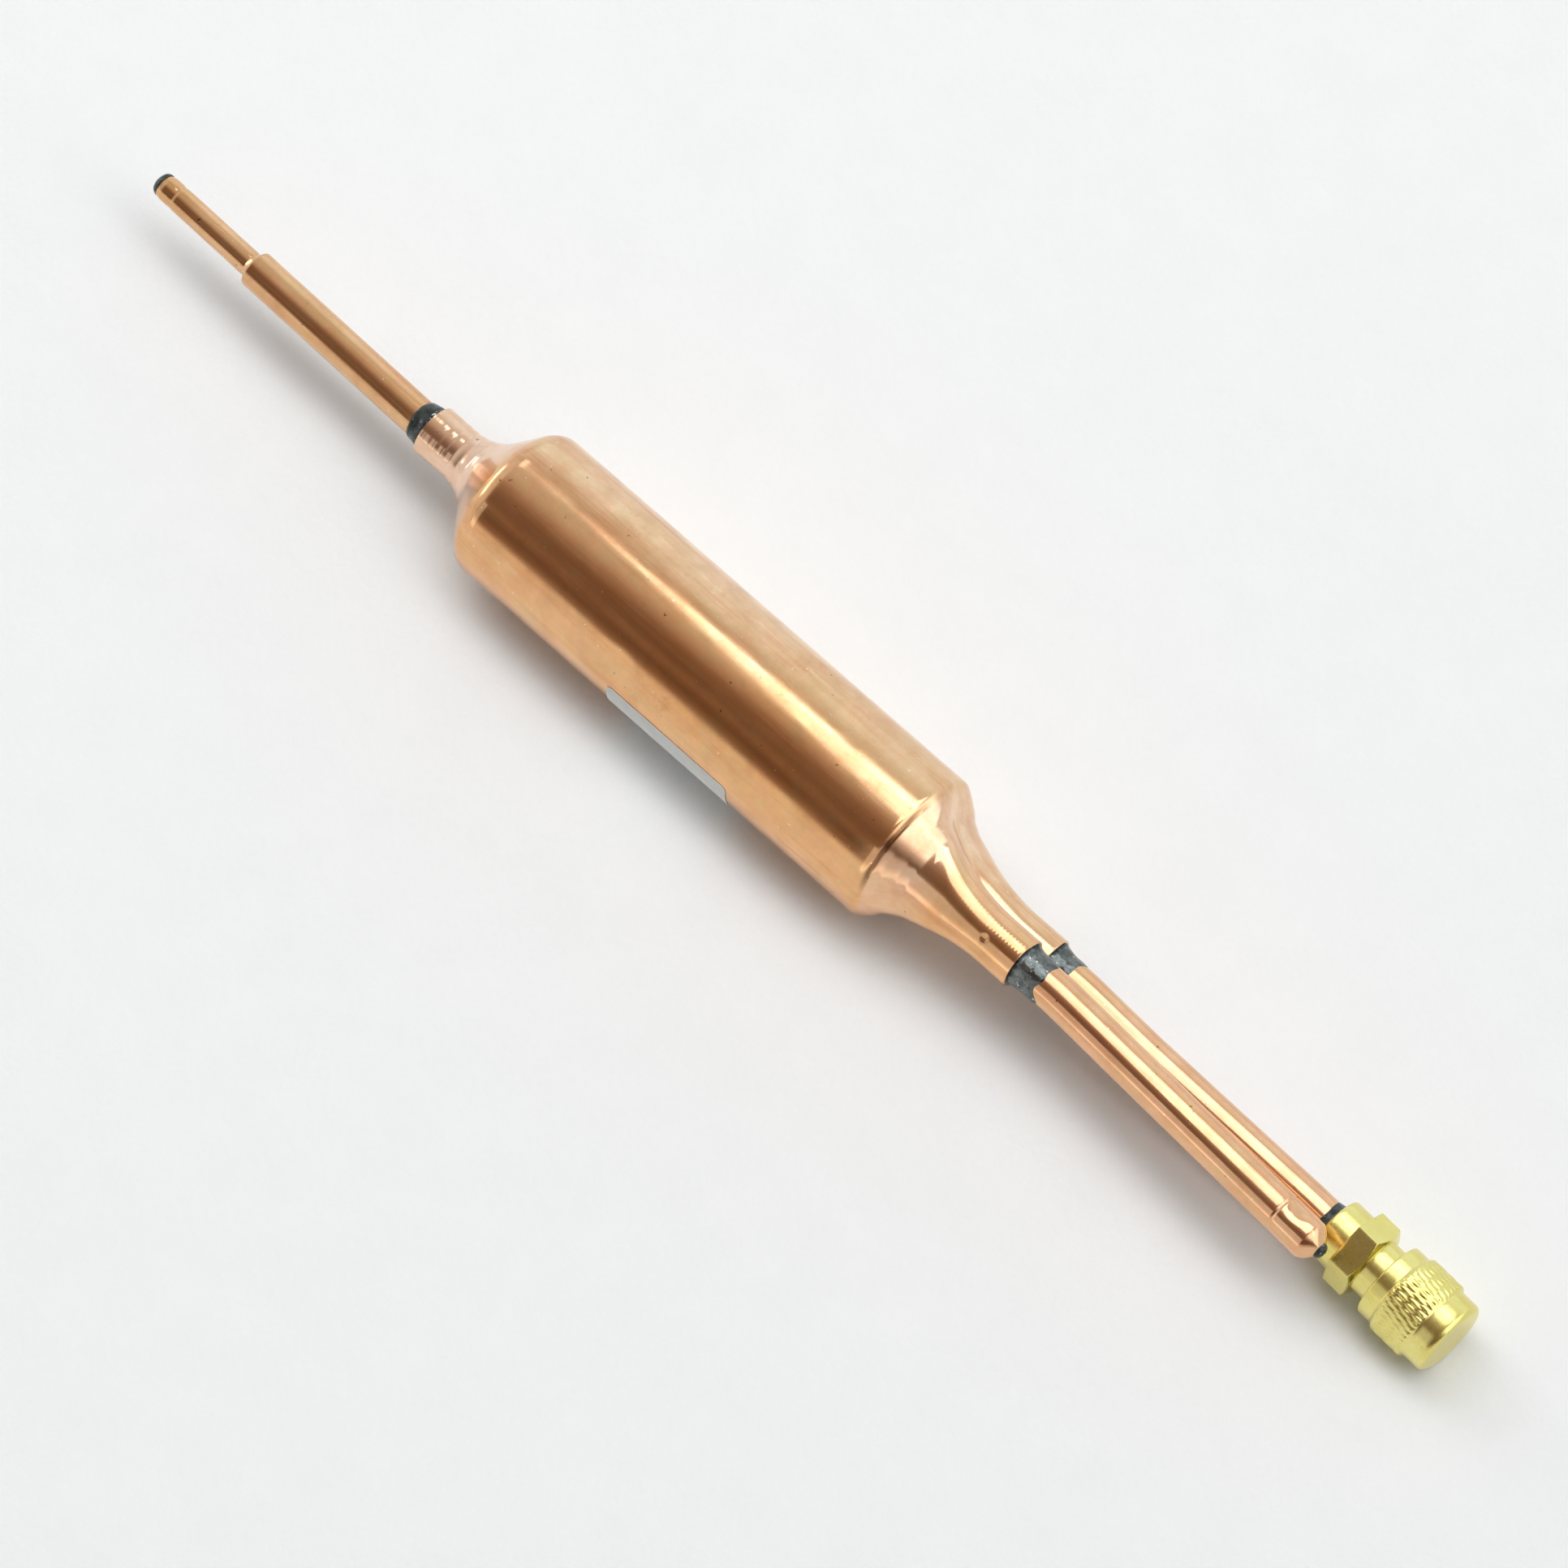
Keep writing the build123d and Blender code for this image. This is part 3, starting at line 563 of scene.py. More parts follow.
# ---- Braze ----
def build_collar(name, origin, way, tube_r, shape, ragged, lumps, seed):
    """A braze ring round a tube. `shape` is (station, height over the tube); its far edge is ragged."""
    path = Path([origin, origin + way * 12])
    phi = round_angles(96)
    total = shape[-1][0]
    edge = ragged * wobble(phi, 0, seed)
    rings = []
    for s in np.linspace(0, total, 26):
        height = np.interp(s, *zip(*shape))
        radius = tube_r + height * (1 + lumps * wobble(phi, s, seed + 1, 1.4))
        rings.append(ring_at(path, s * (1 + edge * s / total), radius, phi))
    for share in (1.0, 0.5, 0.0):
        rings.append(ring_at(path, total * share * (1 + edge * share), tube_r + 0.004, phi))
    return ring_mesh(name, rings, loop=True, sharp=60)


def ring_at(path, along, radius, phi):
    """A ring round a straight path; `along` and `radius` are numbers, or one for each point."""
    point, e1, e2, way = path.place(0.0)
    return circle(point + np.outer(np.broadcast_to(along, phi.shape), way), e1, e2, radius, phi)


def build_bead(name, origin, way, outer_r, inner_r, height, plug, seed):
    """A domed bead over a tube's mouth, with a plug in its bore."""
    path = Path([origin, origin + way * 4])
    phi = round_angles(64)
    rings = [ring_at(path, along, r, phi) for along, r in ((-plug, 0.02), (-plug, inner_r), (0.0, inner_r))]
    for a in np.linspace(0, 88, 22):
        radius = outer_r * cos(deg(a)) * (1 + 0.035 * wobble(phi, a / 40, seed) * cos(deg(a)))
        rings.append(ring_at(path, height * sin(deg(a)) ** 0.9 - 0.12 * (a == 0), radius, phi))
    return ring_mesh(name, rings, caps=(True, True), sharp=70)


# ---- Valve body and cap, along the valve's own axis ----
HEX_ROLL = 24.0
HEX_FLAT = 5.55
HEX_CORNER = HEX_FLAT / cos(deg(30))
HEX_FACE_R = 5.25
COLLAR_R = 5.05
COLLAR_LENGTH = 3.9
HEX_LENGTH = 4.3
RELIEF_R = 4.55
RELIEF_LENGTH = 3.2
THREAD_LENGTH = 7.6
NOSE_LENGTH = 2.0
THREAD_PITCH = 1.27
THREAD_R = 5.5
THREAD_DEPTH = 0.72
THREAD_ROOT = THREAD_R - THREAD_DEPTH
HEX_END = COLLAR_LENGTH + HEX_LENGTH
THREAD_START = HEX_END + RELIEF_LENGTH
THREAD_END = THREAD_START + THREAD_LENGTH
NOSE_END = THREAD_END + NOSE_LENGTH
CORE_BORE_R = 2.65
CORE_SEAT_R = 2.2
SEAT_START = 14.2
SEAT_END = SEAT_START + (CORE_BORE_R - CORE_SEAT_R) / tan(deg(30))
SOCKET_DEPTH = 5.0

flat_normal = np.array([0, -sin(deg(HEX_ROLL)), cos(deg(HEX_ROLL))])
valve_x = flat_normal - valve_way * (flat_normal @ valve_way)
valve_x /= np.linalg.norm(valve_x)
valve_y = np.cross(valve_way, valve_x)


def valve_ring(s, radius, phi):
    """A ring at a distance along the valve's axis from the back of its body."""
    return circle(valve_back + s * valve_way, valve_x, valve_y, radius, phi)


def thread_wave(s, phi):
    """0 at the root and 1 at the crest of a right-hand thread with small flats."""
    t = (s / THREAD_PITCH - phi / TAU) % 1.0
    return np.clip((1 - np.abs(2 * t - 1)) * 1.35 - 0.16, 0, 1)


def build_valve_body():
    """Collar, hexagon, relief, thread and nose, then back down the bore to the tube's socket."""
    phi = round_angles(VALVE_SEGMENTS)
    turn = (phi + deg(30)) % deg(60) - deg(30)
    hex_r = np.minimum(HEX_FLAT / np.cos(turn), HEX_CORNER - 0.03)
    rings = []

    def add(s, radius):
        rings.append(valve_ring(s, radius, phi))

    for s, r in ((0.0, 4.66), (0.06, 4.8), (0.22, 4.98), (0.45, COLLAR_R)):
        add(s, r)
    for s in spaced(0.8, COLLAR_LENGTH - 0.1, 0.5):
        add(s, COLLAR_R + 0.006 * np.sin(TAU * s / 0.5))
    for s, r in ((0.0, COLLAR_R), (0.0, hex_r - 0.10), (0.05, hex_r - 0.02), (0.12, hex_r)):
        add(COLLAR_LENGTH + s, r)
    chamfer = (HEX_CORNER - HEX_FACE_R) * tan(deg(30))
    for s in spaced(COLLAR_LENGTH + 0.4, HEX_END - chamfer - 0.15, 0.5):
        add(s, hex_r)
    for s in spaced(HEX_END - chamfer - 0.12, HEX_END - 0.03, 0.06):
        add(s, np.minimum(hex_r, HEX_FACE_R + (HEX_END - s) / tan(deg(30))))
    for s, r in ((0.0, HEX_FACE_R), (0.0, RELIEF_R + 0.13), (0.05, RELIEF_R + 0.03)):
        add(HEX_END + s, r)
    for s in (*spaced(HEX_END + 0.14, THREAD_START - 0.2, 0.5), THREAD_START - 0.02):
        add(s, RELIEF_R)
    for s in spaced(THREAD_START, THREAD_END + 0.3, 0.085):
        run_in = 0.6 * float(smoothstep(THREAD_START + 0.7 - s, 0, 0.7))
        run_out = 0.45 * float(smoothstep(s, THREAD_END - 0.3, THREAD_END + 0.3))
        crest = THREAD_R - run_in - run_out
        cut = crest - THREAD_DEPTH * (1 - thread_wave(s, phi))
        add(s, np.maximum(THREAD_ROOT, cut) if crest > THREAD_ROOT else crest)
    nose_from, nose_to = THREAD_END + 0.36, NOSE_END - 0.1
    for s in spaced(nose_from, nose_to, 0.22):
        add(s, 5.05 + (3.5 - 5.05) * (s - nose_from) / (nose_to - nose_from))
    for s, r in ((NOSE_END, 3.42), (NOSE_END, 2.95), (NOSE_END - 0.3, CORE_BORE_R)):
        add(s, r)
    for s in spaced(NOSE_END - 0.6, SEAT_END, 1.0):
        add(s, CORE_BORE_R)
    for s, r in ((SEAT_START, CORE_SEAT_R), (SOCKET_DEPTH, CORE_SEAT_R), (SOCKET_DEPTH, SOCKET_R),
                 (0.35, SOCKET_R), (0.0, 3.5)):
        add(s, r)
    return ring_mesh("valve_stem", rings, loop=True, sharp=28)


CAP_START = THREAD_START - 0.4
GASKET_START = NOSE_END + 0.05
CAP_FLOOR = GASKET_START + 1.2
CAP_END = CAP_FLOOR + 1.7
CAP_R = 6.2
CAP_EDGE = 1.1
CAP_TOP = CAP_END - 0.003
KNURL_R = 6.75
KNURL_FROM = CAP_START + 2.6
KNURL_TO = KNURL_FROM + 6.7
KNURL_LINES = 46
KNURL_LEAN = 13.0
CAP_BORE_R = 5.56


def build_cap():
    """The cap's skirt, knurl and top, then its threaded bore from the floor back to the mouth."""
    phi = round_angles(CAP_SEGMENTS)
    rings = []
    lean = tan(deg(KNURL_LEAN)) / KNURL_R

    def add(s, radius, skew=True):
        turned = phi + lean * min(max(s - KNURL_FROM, 0), KNURL_TO - KNURL_FROM) * skew
        rings.append(valve_ring(s, radius, turned))

    def knurl(s):
        """Two crossing families of rolled grooves. The mesh is twisted to follow the deeper one."""
        deep = np.abs(2 * ((KNURL_LINES * phi / TAU) % 1.0) - 1)
        across = (KNURL_LINES * (phi + 2 * lean * (s - KNURL_FROM)) / TAU) % 1.0
        shallow = np.clip(1 - np.abs(across - 0.5) / 0.26, 0, 1)
        return 0.075 * np.clip(1.1 - 1.3 * deep, 0, 1) + 0.06 * shallow

    for s, r in ((CAP_START, 5.72), (CAP_START, 5.98), (CAP_START + 0.05, 6.08), (CAP_START + 0.16, 6.17),
                 (CAP_START + 0.3, CAP_R)):
        add(s, r)
    for s in spaced(CAP_START + 0.6, KNURL_FROM - 0.12, 0.5):
        add(s, CAP_R + 0.005 * np.sin(TAU * s / 0.4))
    add(KNURL_FROM, CAP_R + 0.02)
    for s in spaced(KNURL_FROM + 0.08, KNURL_TO - 0.08, 0.11):
        edge = min(s - KNURL_FROM, KNURL_TO - s) / 0.6
        height = (KNURL_R - CAP_R) * min(1.0, edge)
        depth = float(smoothstep(edge, 0.1, 1.0))
        add(s, CAP_R + height - depth * knurl(s))
    add(KNURL_TO, CAP_R + 0.02)
    for s in spaced(KNURL_TO + 0.12, CAP_END - CAP_EDGE, 0.5):
        add(s, CAP_R + 0.005 * np.sin(TAU * s / 0.4))
    for a in (12, 24, 36, 48, 60, 72, 84, 90):
        add(CAP_TOP - CAP_EDGE * (1 - sin(deg(a))), CAP_R - CAP_EDGE * (1 - cos(deg(a))))
    for r in (4.2, 3.0, 1.6, 0.4):
        add(CAP_TOP - 0.02 * (4.2 - r), r)
    last = len(rings)
    add(CAP_FLOOR, 0.4, False)
    add(CAP_FLOOR, CAP_BORE_R, False)
    add(GASKET_START - 0.6, CAP_BORE_R, False)
    crest = THREAD_ROOT + 0.16
    for s in spaced(GASKET_START - 2.2, CAP_START + 0.5, 0.12):
        fade = float(smoothstep(s, CAP_START + 0.4, CAP_START + 1.2))
        fade *= 1 - float(smoothstep(s, GASKET_START - 3.0, GASKET_START - 2.3))
        thread = 0.56 * fade * np.clip(0.92 - thread_wave(s, phi) * 1.25, 0, 1)
        add(s, np.minimum(np.maximum(crest, CAP_BORE_R - thread), CAP_BORE_R), False)
    faces, numbers = ring_faces(len(rings), CAP_SEGMENTS, True)
    # The top and the bore's floor are flat discs, with no faces through the middle between them.
    faces = [*faces[:(last - 1) * CAP_SEGMENTS], *faces[last * CAP_SEGMENTS:]]
    faces += [numbers[last - 1], numbers[last][::-1]]
    return make_mesh("cap_skin", np.concatenate(rings), faces, 34)


def build_label():
    """A paper patch on the drum, with round corners and edges that lift by a hair."""
    width, start, sweep, thick = 24.4, 81.0, 84.0, 0.075
    centre_x = 3.8
    across, around = 60, 64
    corner = 0.9
    length = DRUM_R * deg(sweep)
    top, bottom = [], []
    for j in range(around + 1):
        v = length * j / around
        pinch = max(0.0, corner - min(v, length - v))
        trim = corner - sqrt(max(corner ** 2 - pinch ** 2, 0)) if pinch > 0 else 0.0
        for i in range(across + 1):
            u = (i / across - 0.5) * (width - 2 * trim)
            angle = deg(start) + v / DRUM_R
            near = min(v, length - v, width / 2 - abs(u))
            lift = 0.012 * exp(-near / 0.5) + 0.004 * sin(u * 1.3) * sin(v * 1.1)
            for sheet, r in ((bottom, DRUM_R + 0.004), (top, DRUM_R + thick - 0.016 + lift)):
                sheet.append((centre_x + u, -r * sin(angle), r * cos(angle)))
    row = across + 1
    count = row * (around + 1)
    faces = []
    for j in range(around):
        for i in range(across):
            a = j * row + i
            b, c, d = a + 1, a + row + 1, a + row
            faces.append((a, d, c, b))
            faces.append((a + count, b + count, c + count, d + count))
    rim = [*range(row), *(j * row + across for j in range(1, around + 1))]
    rim += [around * row + i for i in range(across - 1, -1, -1)]
    rim += [j * row for j in range(around - 1, 0, -1)]
    for a, b in zip(rim, rim[1:] + rim[:1]):
        faces.append((a, b, b + count, a + count))
    return make_mesh("label_sheet", bottom + top, faces, 40)


# ---- Materials ----
def add_node(tree, kind, links=None, **settings):
    """A new node with its settings. `links` gives its inputs plain values or other nodes' outputs."""
    made = tree.nodes.new(kind)
    for key, value in settings.items():
        setattr(made, key, value)
    for key, value in (links or {}).items():
        if isinstance(value, bpy.types.NodeSocket):
            tree.links.new(value, made.inputs[key])
        else:
            made.inputs[key].default_value = value
    return made


class Nodes:
    """A short way to write a material's node tree. Places and distances in it are metres."""

    def __init__(self, name, **inputs):
        self.material = bpy.data.materials.new(name)
        self.material.use_nodes = True
        self.tree = self.material.node_tree
        self.shader = self.tree.nodes["Principled BSDF"]
        for key, value in inputs.items():
            self.shader.inputs[key.replace("_", " ")].default_value = value
        self.place = self.node("ShaderNodeTexCoord").outputs["Object"]

    def node(self, kind, links=None, **settings):
        return add_node(self.tree, kind, links, **settings)

    def mapped(self, scale, shift=(0, 0, 0)):
        links = {"Vector": self.place, "Scale": scale, "Location": shift}
        return self.node("ShaderNodeMapping", links).outputs[0]

    def noise(self, scale, detail, rough, stretch=(1, 1, 1), shift=(0, 0, 0), distortion=0.0):
        links = {"Vector": self.mapped(stretch, shift), "Scale": scale, "Detail": detail, "Roughness": rough,
                 "Distortion": distortion}
        return self.node("ShaderNodeTexNoise", links).outputs["Fac"]

    def fac(self, value, low, high, start=0.0, end=1.0):
        """The value's place from low to high, as a number from start to end."""
        links = {"Value": value, "From Min": low, "From Max": high, "To Min": start, "To Max": end}
        return self.node("ShaderNodeMapRange", links, clamp=True).outputs["Result"]

    def mix(self, share, a, b, blend="MIX"):
        a, b = ((*colour, 1) if isinstance(colour, tuple) else colour for colour in (a, b))
        links = {0: share, 6: a, 7: b}
        return self.node("ShaderNodeMix", links, data_type="RGBA", blend_type=blend).outputs[2]

    def over(self, base, colour, value, low, high, most=1.0):
        """The base with a colour laid over it where the value goes from low to high, at most this much."""
        return self.mix(self.fac(value, low, high, 0.0, most), base, colour)

    def math(self, kind, a, b=0.0):
        return self.node("ShaderNodeMath", {0: a, 1: b}, operation=kind).outputs[0]

    def axis(self, index):
        return self.node("ShaderNodeSeparateXYZ", {0: self.place}).outputs[index]

    def set(self, key, value):
        self.tree.links.new(value, self.shader.inputs[key])

    def bump(self, height, strength, distance, normal=None):
        links = {"Height": height, "Strength": strength, "Distance": distance}
        if normal is not None:
            links["Normal"] = normal
        return self.node("ShaderNodeBump", links).outputs["Normal"]


def copper(name, sand, pink, stain, rough, stained, seed, spun=False):
    """Drawn copper: cloudy sandy and pink tarnish, brown stains and specks, hairline scratches along X.

    The spun drum also gets painted light: its +Y side, towards the lamps, is paler and more yellow, its cones
    carry a painted pale highlight and its groove painted shade.
    """
    n = Nodes(name, Metallic=1.0)
    clouds = n.noise(38, 5, 0.6, shift=(seed, 0, 0))
    mottle = n.noise(190, 6, 0.62, shift=(0, seed, 0))
    blots = n.noise(120, 8, 0.68, shift=(0, 0, seed), distortion=0.4)
    specks = n.noise(700, 3, 0.5, shift=(seed, seed, 0))
    hair = n.noise(1, 3, 0.6, stretch=(60, 2600, 2600))
    grain = n.noise(1900, 2, 0.6)
    base = n.over(sand, pink, clouds, 0.36, 0.66)
    if spun:
        # Painted light: the +Y side, which faces the lamps, is drawn paler and more yellow.
        painted_lit_side = n.over((0.88, 0.61, 0.36), (0.90, 0.65, 0.44), clouds, 0.36, 0.66)
        base = n.over(base, painted_lit_side, n.axis(1), -0.0045, 0.0075)
    tint = n.noise(260, 5, 0.65, shift=(seed, 2, 0))
    base = n.over(base, (0.76, 0.55, 0.29), tint, 0.50, 0.68, 0.5)
    base = n.over(base, (0.87, 0.47, 0.27), tint, 0.50, 0.32, 0.5)
    base = n.over(base, stain, mottle, 0.35, 0.75, 0.5)
    streaks = n.noise(1, 5, 0.62, stretch=(22, 330, 330), shift=(seed, 0, 4))
    base = n.over(base, (0.60, 0.25, 0.10), streaks, 0.50, 0.70, 0.5)
    base = n.over(base, (0.70, 0.50, 0.26), streaks, 0.46, 0.30, 0.4)
    base = n.over(base, stain, blots, 0.57, 0.72, stained)
    if spun:
        x = n.axis(0)
        # Painted highlight: pale colour over the outlet cone and neck and the start of the inlet cone.
        pale = n.math("ADD", n.fac(x, -0.0415, -0.0440, 0.0, 0.85), n.fac(x, 0.0418, 0.0425, 0.0, 0.35))
        for fade in (n.fac(x, 0.0465, 0.0520, 1.0, 0.12), n.fac(x, -0.0560, -0.0500, 0.55, 1.0),
                     n.fac(mottle, 0.30, 0.62, 1.0, 0.55)):
            pale = n.math("MULTIPLY", pale, fade)
        base = n.mix(pale, base, (0.93, 0.72, 0.60))
        # Painted shade: the spun groove is darkened on the -Y side.
        groove = n.math("ABSOLUTE", n.math("SUBTRACT", x, (HALF + GROOVE_AT) * MM))
        side = n.math("MULTIPLY", n.fac(n.axis(1), 0.0035, -0.0005), n.fac(n.axis(1), -0.0116, -0.0098))
        groove_shade = n.math("MULTIPLY", side, n.fac(groove, 0.0002, 0.0005, 0.85, 0.0))
        base = n.mix(groove_shade, base, (0.20, 0.085, 0.04))
    base = n.over(base, (0.16, 0.08, 0.045), specks, 0.72, 0.755, 0.7)
    # Painted glints: sparse near-white dots on the copper.
    painted_glint_flecks = n.noise(1700, 2, 0.5, shift=(0, seed, seed))
    base = n.over(base, (1.0, 0.93, 0.84), painted_glint_flecks, 0.735, 0.76, 0.7)
    base = n.over(base, (0.97, 0.84, 0.70), hair, 0.62, 0.72, 0.16)
    n.set("Base Color", base)
    n.set("Roughness", n.fac(n.math("ADD", mottle, blots), 0.75, 1.3, rough, rough + 0.14))
    fine = n.bump(hair, 0.12, 0.00002)
    dusty = n.bump(grain, 0.05, 0.00002, fine)
    n.set("Normal", n.bump(mottle, 0.16, 0.00006, dusty))
    return n.material


def brass(name):
    """Satin brass, a little dull between its grain and pitted here and there."""
    n = Nodes(name, Metallic=1.0)
    clouds = n.noise(160, 5, 0.6)
    grain = n.noise(2600, 3, 0.6)
    pits = n.noise(1500, 3, 0.5)
    base = n.over((0.84, 0.755, 0.28), (0.76, 0.66, 0.19), clouds, 0.35, 0.7)
    base = n.over(base, (0.50, 0.42, 0.10), grain, 0.6, 0.8, 0.3)
    base = n.over(base, (0.22, 0.17, 0.05), pits, 0.70, 0.75, 0.6)
    n.set("Base Color", base)
    n.set("Roughness", n.fac(grain, 0.3, 0.7, 0.20, 0.28))
    n.set("Normal", n.bump(grain, 0.1, 0.00002))
    return n.material


def braze(name, dark, light, metallic, rough, lip=None):
    """Flowed braze alloy: glossy lumps with painted glints, and painted shade in the crease at the lip of the
    neck.
    """
    n = Nodes(name, Metallic=metallic)
    clouds = n.noise(700, 5, 0.6)
    pits = n.noise(2400, 3, 0.55)
    glints = n.noise(1500, 2, 0.5, shift=(5, 0, 0))
    base = n.over(dark, light, clouds, 0.38, 0.64)
    # Painted glints: pale grey spots in the braze's colour.
    base = n.over(base, (0.62, 0.64, 0.60), glints, 0.66, 0.72)
    base = n.over(base, (0.02, 0.02, 0.02), pits, 0.66, 0.76, 0.8)
    if lip is not None:
        # Painted shade: a dark band at the lip of the neck, where braze and neck meet.
        ragged = n.math("ADD", n.axis(0), n.fac(clouds, 0.3, 0.7, -0.0002, 0.0003))
        base = n.mix(n.fac(ragged, lip + 0.0003, lip + 0.0006, 0.92, 0.0), base, (0.012, 0.013, 0.012))
    n.set("Base Color", base)
    n.set("Roughness", n.fac(clouds, 0.3, 0.7, rough, rough + 0.10))
    lumps = n.bump(n.noise(420, 2, 0.4, shift=(2, 0, 0)), 0.8, 0.0005)
    n.set("Normal", n.bump(pits, 0.2, 0.00005, lumps))
    return n.material


def plain(name, light, dark, rough, scale, detail, strength, depth, metallic=0.0):
    """One even material: `rough` is its least and most roughness."""
    n = Nodes(name, Metallic=metallic)
    grain = n.noise(scale, detail, 0.6)
    n.set("Base Color", n.over(dark, light, grain, 0.35, 0.68))
    n.set("Roughness", n.fac(grain, 0.3, 0.7, *rough))
    n.set("Normal", n.bump(grain, strength, depth))
    return n.material


def inside_metal(name, light, dark, rough):
    return plain(name, light, dark, (rough, rough + 0.14), 900, 4, 0.15, 0.00003, metallic=1.0)


def matte(name, light, dark, rough, scale, depth):
    return plain(name, light, dark, (rough - 0.08, rough + 0.08), scale, 6, 0.4, depth)


def beads(name):
    """Packed desiccant beads about 1.6 mm across, with painted shade in the gaps between them."""
    n = Nodes(name, Roughness=0.75)
    cells = n.node("ShaderNodeTexVoronoi", {"Vector": n.place, "Scale": 620.0})
    height = n.fac(cells.outputs["Distance"], 0.0, 0.7, 1.0, 0.0)
    # Painted shade: the beads' colour darkens from their middles into the gaps between them.
    tone_with_gap_shade = n.over((0.30, 0.22, 0.14), (0.72, 0.62, 0.48), height, 0.15, 0.6)
    n.set("Base Color", n.mix(0.12, tone_with_gap_shade, cells.outputs["Color"], "OVERLAY"))
    n.set("Normal", n.bump(height, 0.9, 0.0006))
    return n.material


def wire_cloth(name):
    """Wires 0.25 mm apart, both ways across the drum's axis, with painted shade in the gaps between them."""
    n = Nodes(name, Metallic=1.0, Roughness=0.35)
    weave = []
    for index in (1, 2):
        wave = n.math("SINE", n.math("MULTIPLY", n.axis(index), TAU / 0.0005))
        weave.append(n.math("ABSOLUTE", wave))
    height = n.math("MAXIMUM", *weave)
    # Painted shade: dark between the wires, pale on their crests.
    n.set("Base Color", n.over((0.10, 0.10, 0.09), (0.62, 0.60, 0.55), height, 0.55, 0.9))
    n.set("Normal", n.bump(height, 0.8, 0.0001))
    return n.material


BRAZE_GREY = (0.07, 0.082, 0.077), (0.19, 0.205, 0.195)

copper_drum = copper("copper_drum", sand=(0.855, 0.475, 0.205), pink=(0.87, 0.505, 0.265),
                     stain=(0.58, 0.28, 0.115), rough=0.095, stained=0.60, seed=3.0, spun=True)
copper_tube = copper("copper_tube", sand=(0.86, 0.49, 0.26), pink=(0.89, 0.54, 0.33),
                     stain=(0.60, 0.28, 0.12), rough=0.08, stained=0.35, seed=7.0)
copper_outlet = copper("copper_outlet", sand=(0.83, 0.51, 0.255), pink=(0.86, 0.545, 0.315),
                       stain=(0.55, 0.27, 0.11), rough=0.10, stained=0.4, seed=11.0)
brass_satin = brass("brass_satin")
braze_dark = braze("braze_dark", (0.018, 0.024, 0.022), (0.055, 0.068, 0.062), 0.35, 0.12)
braze_inlet = braze("braze_inlet", *BRAZE_GREY, 0.8, 0.10, INLET_NECK_END * MM)
braze_process = braze("braze_process", *BRAZE_GREY, 0.8, 0.10, PROCESS_NECK_END * MM)
brass_core = inside_metal("brass_core", (0.74, 0.60, 0.26), (0.52, 0.40, 0.14), 0.22)
steel = inside_metal("steel_bright", (0.62, 0.61, 0.59), (0.38, 0.38, 0.37), 0.24)
rubber = matte("rubber_black", (0.028, 0.028, 0.028), (0.012, 0.012, 0.012), 0.62, 1800, 0.00005)
ptfe = matte("ptfe_white", (0.80, 0.79, 0.74), (0.68, 0.66, 0.60), 0.45, 1500, 0.00003)
felt = matte("felt_pad", (0.62, 0.60, 0.52), (0.36, 0.34, 0.29), 0.95, 1300, 0.0004)
paper = matte("paper_label", (0.86, 0.86, 0.82), (0.78, 0.785, 0.755), 0.6, 420, 0.00004)
bead_bed = beads("bead_bed")
cloth = wire_cloth("wire_cloth")

dress(build_shell(), copper_drum, "drier_shell")
dress(build_outlet_stub(), copper_outlet, "outlet_stub")
dress(build_inlet_stub(), copper_tube, "inlet_stub")
dress(build_process_tube(), copper_tube, "process_tube")

X_AXIS = np.array([1.0, 0.0, 0.0])
outlet_collar = build_collar(
    "outlet_collar", outlet_lip, -X_AXIS, STUB_LARGE_R,
    [(0, 0.66), (0.7, 0.5), (1.3, 0.34), (2.3, 0.24), (2.7, 0.02)], ragged=0.05, lumps=0.16, seed=21)
inlet_collar = build_collar(
    "inlet_collar", inlet_lip, X_AXIS, TUBE_R,
    [(0, 0.74), (0.5, 0.42), (1.1, 0.25), (2.2, 0.16), (4.3, 0.10), (4.7, 0.01)],
    ragged=0.14, lumps=0.26, seed=23)
process_collar = build_collar(
    "process_collar", process_lip, X_AXIS, TUBE_R,
    [(0, 0.74), (0.5, 0.40), (1.1, 0.24), (2.2, 0.15), (3.6, 0.10), (4.0, 0.01)],
    ragged=0.13, lumps=0.26, seed=25)
valve_collar = build_collar(
    "valve_collar", valve_back, -valve_way, TUBE_R,
    [(0, 0.26), (0.5, 0.22), (1.1, 0.12), (1.6, 0.01)], ragged=0.16, lumps=0.25, seed=27)
outlet_bead = build_bead("outlet_bead", outlet_mouth, outlet_way, outer_r=1.98, inner_r=1.4, height=1.195,
                         plug=1.5, seed=31)
inlet_bead = build_bead("inlet_bead", inlet_cone + inlet_way * CONE_LENGTH, inlet_way, outer_r=1.3,
                        inner_r=0.59, height=0.9, plug=0.5, seed=33)
dress(outlet_collar, braze_dark, "outlet_neck_braze")
dress(inlet_collar, braze_inlet, "inlet_neck_braze")
dress(process_collar, braze_process, "process_neck_braze")
dress(valve_collar, braze_dark, "valve_braze")
dress(outlet_bead, braze_dark, "outlet_tip_braze")
dress(inlet_bead, braze_dark, "inlet_tip_braze")
dress(build_valve_body(), brass_satin, "valve_body")
dress(build_cap(), brass_satin, "valve_cap", body="valve_cap")
dress(build_label(), paper, "label")

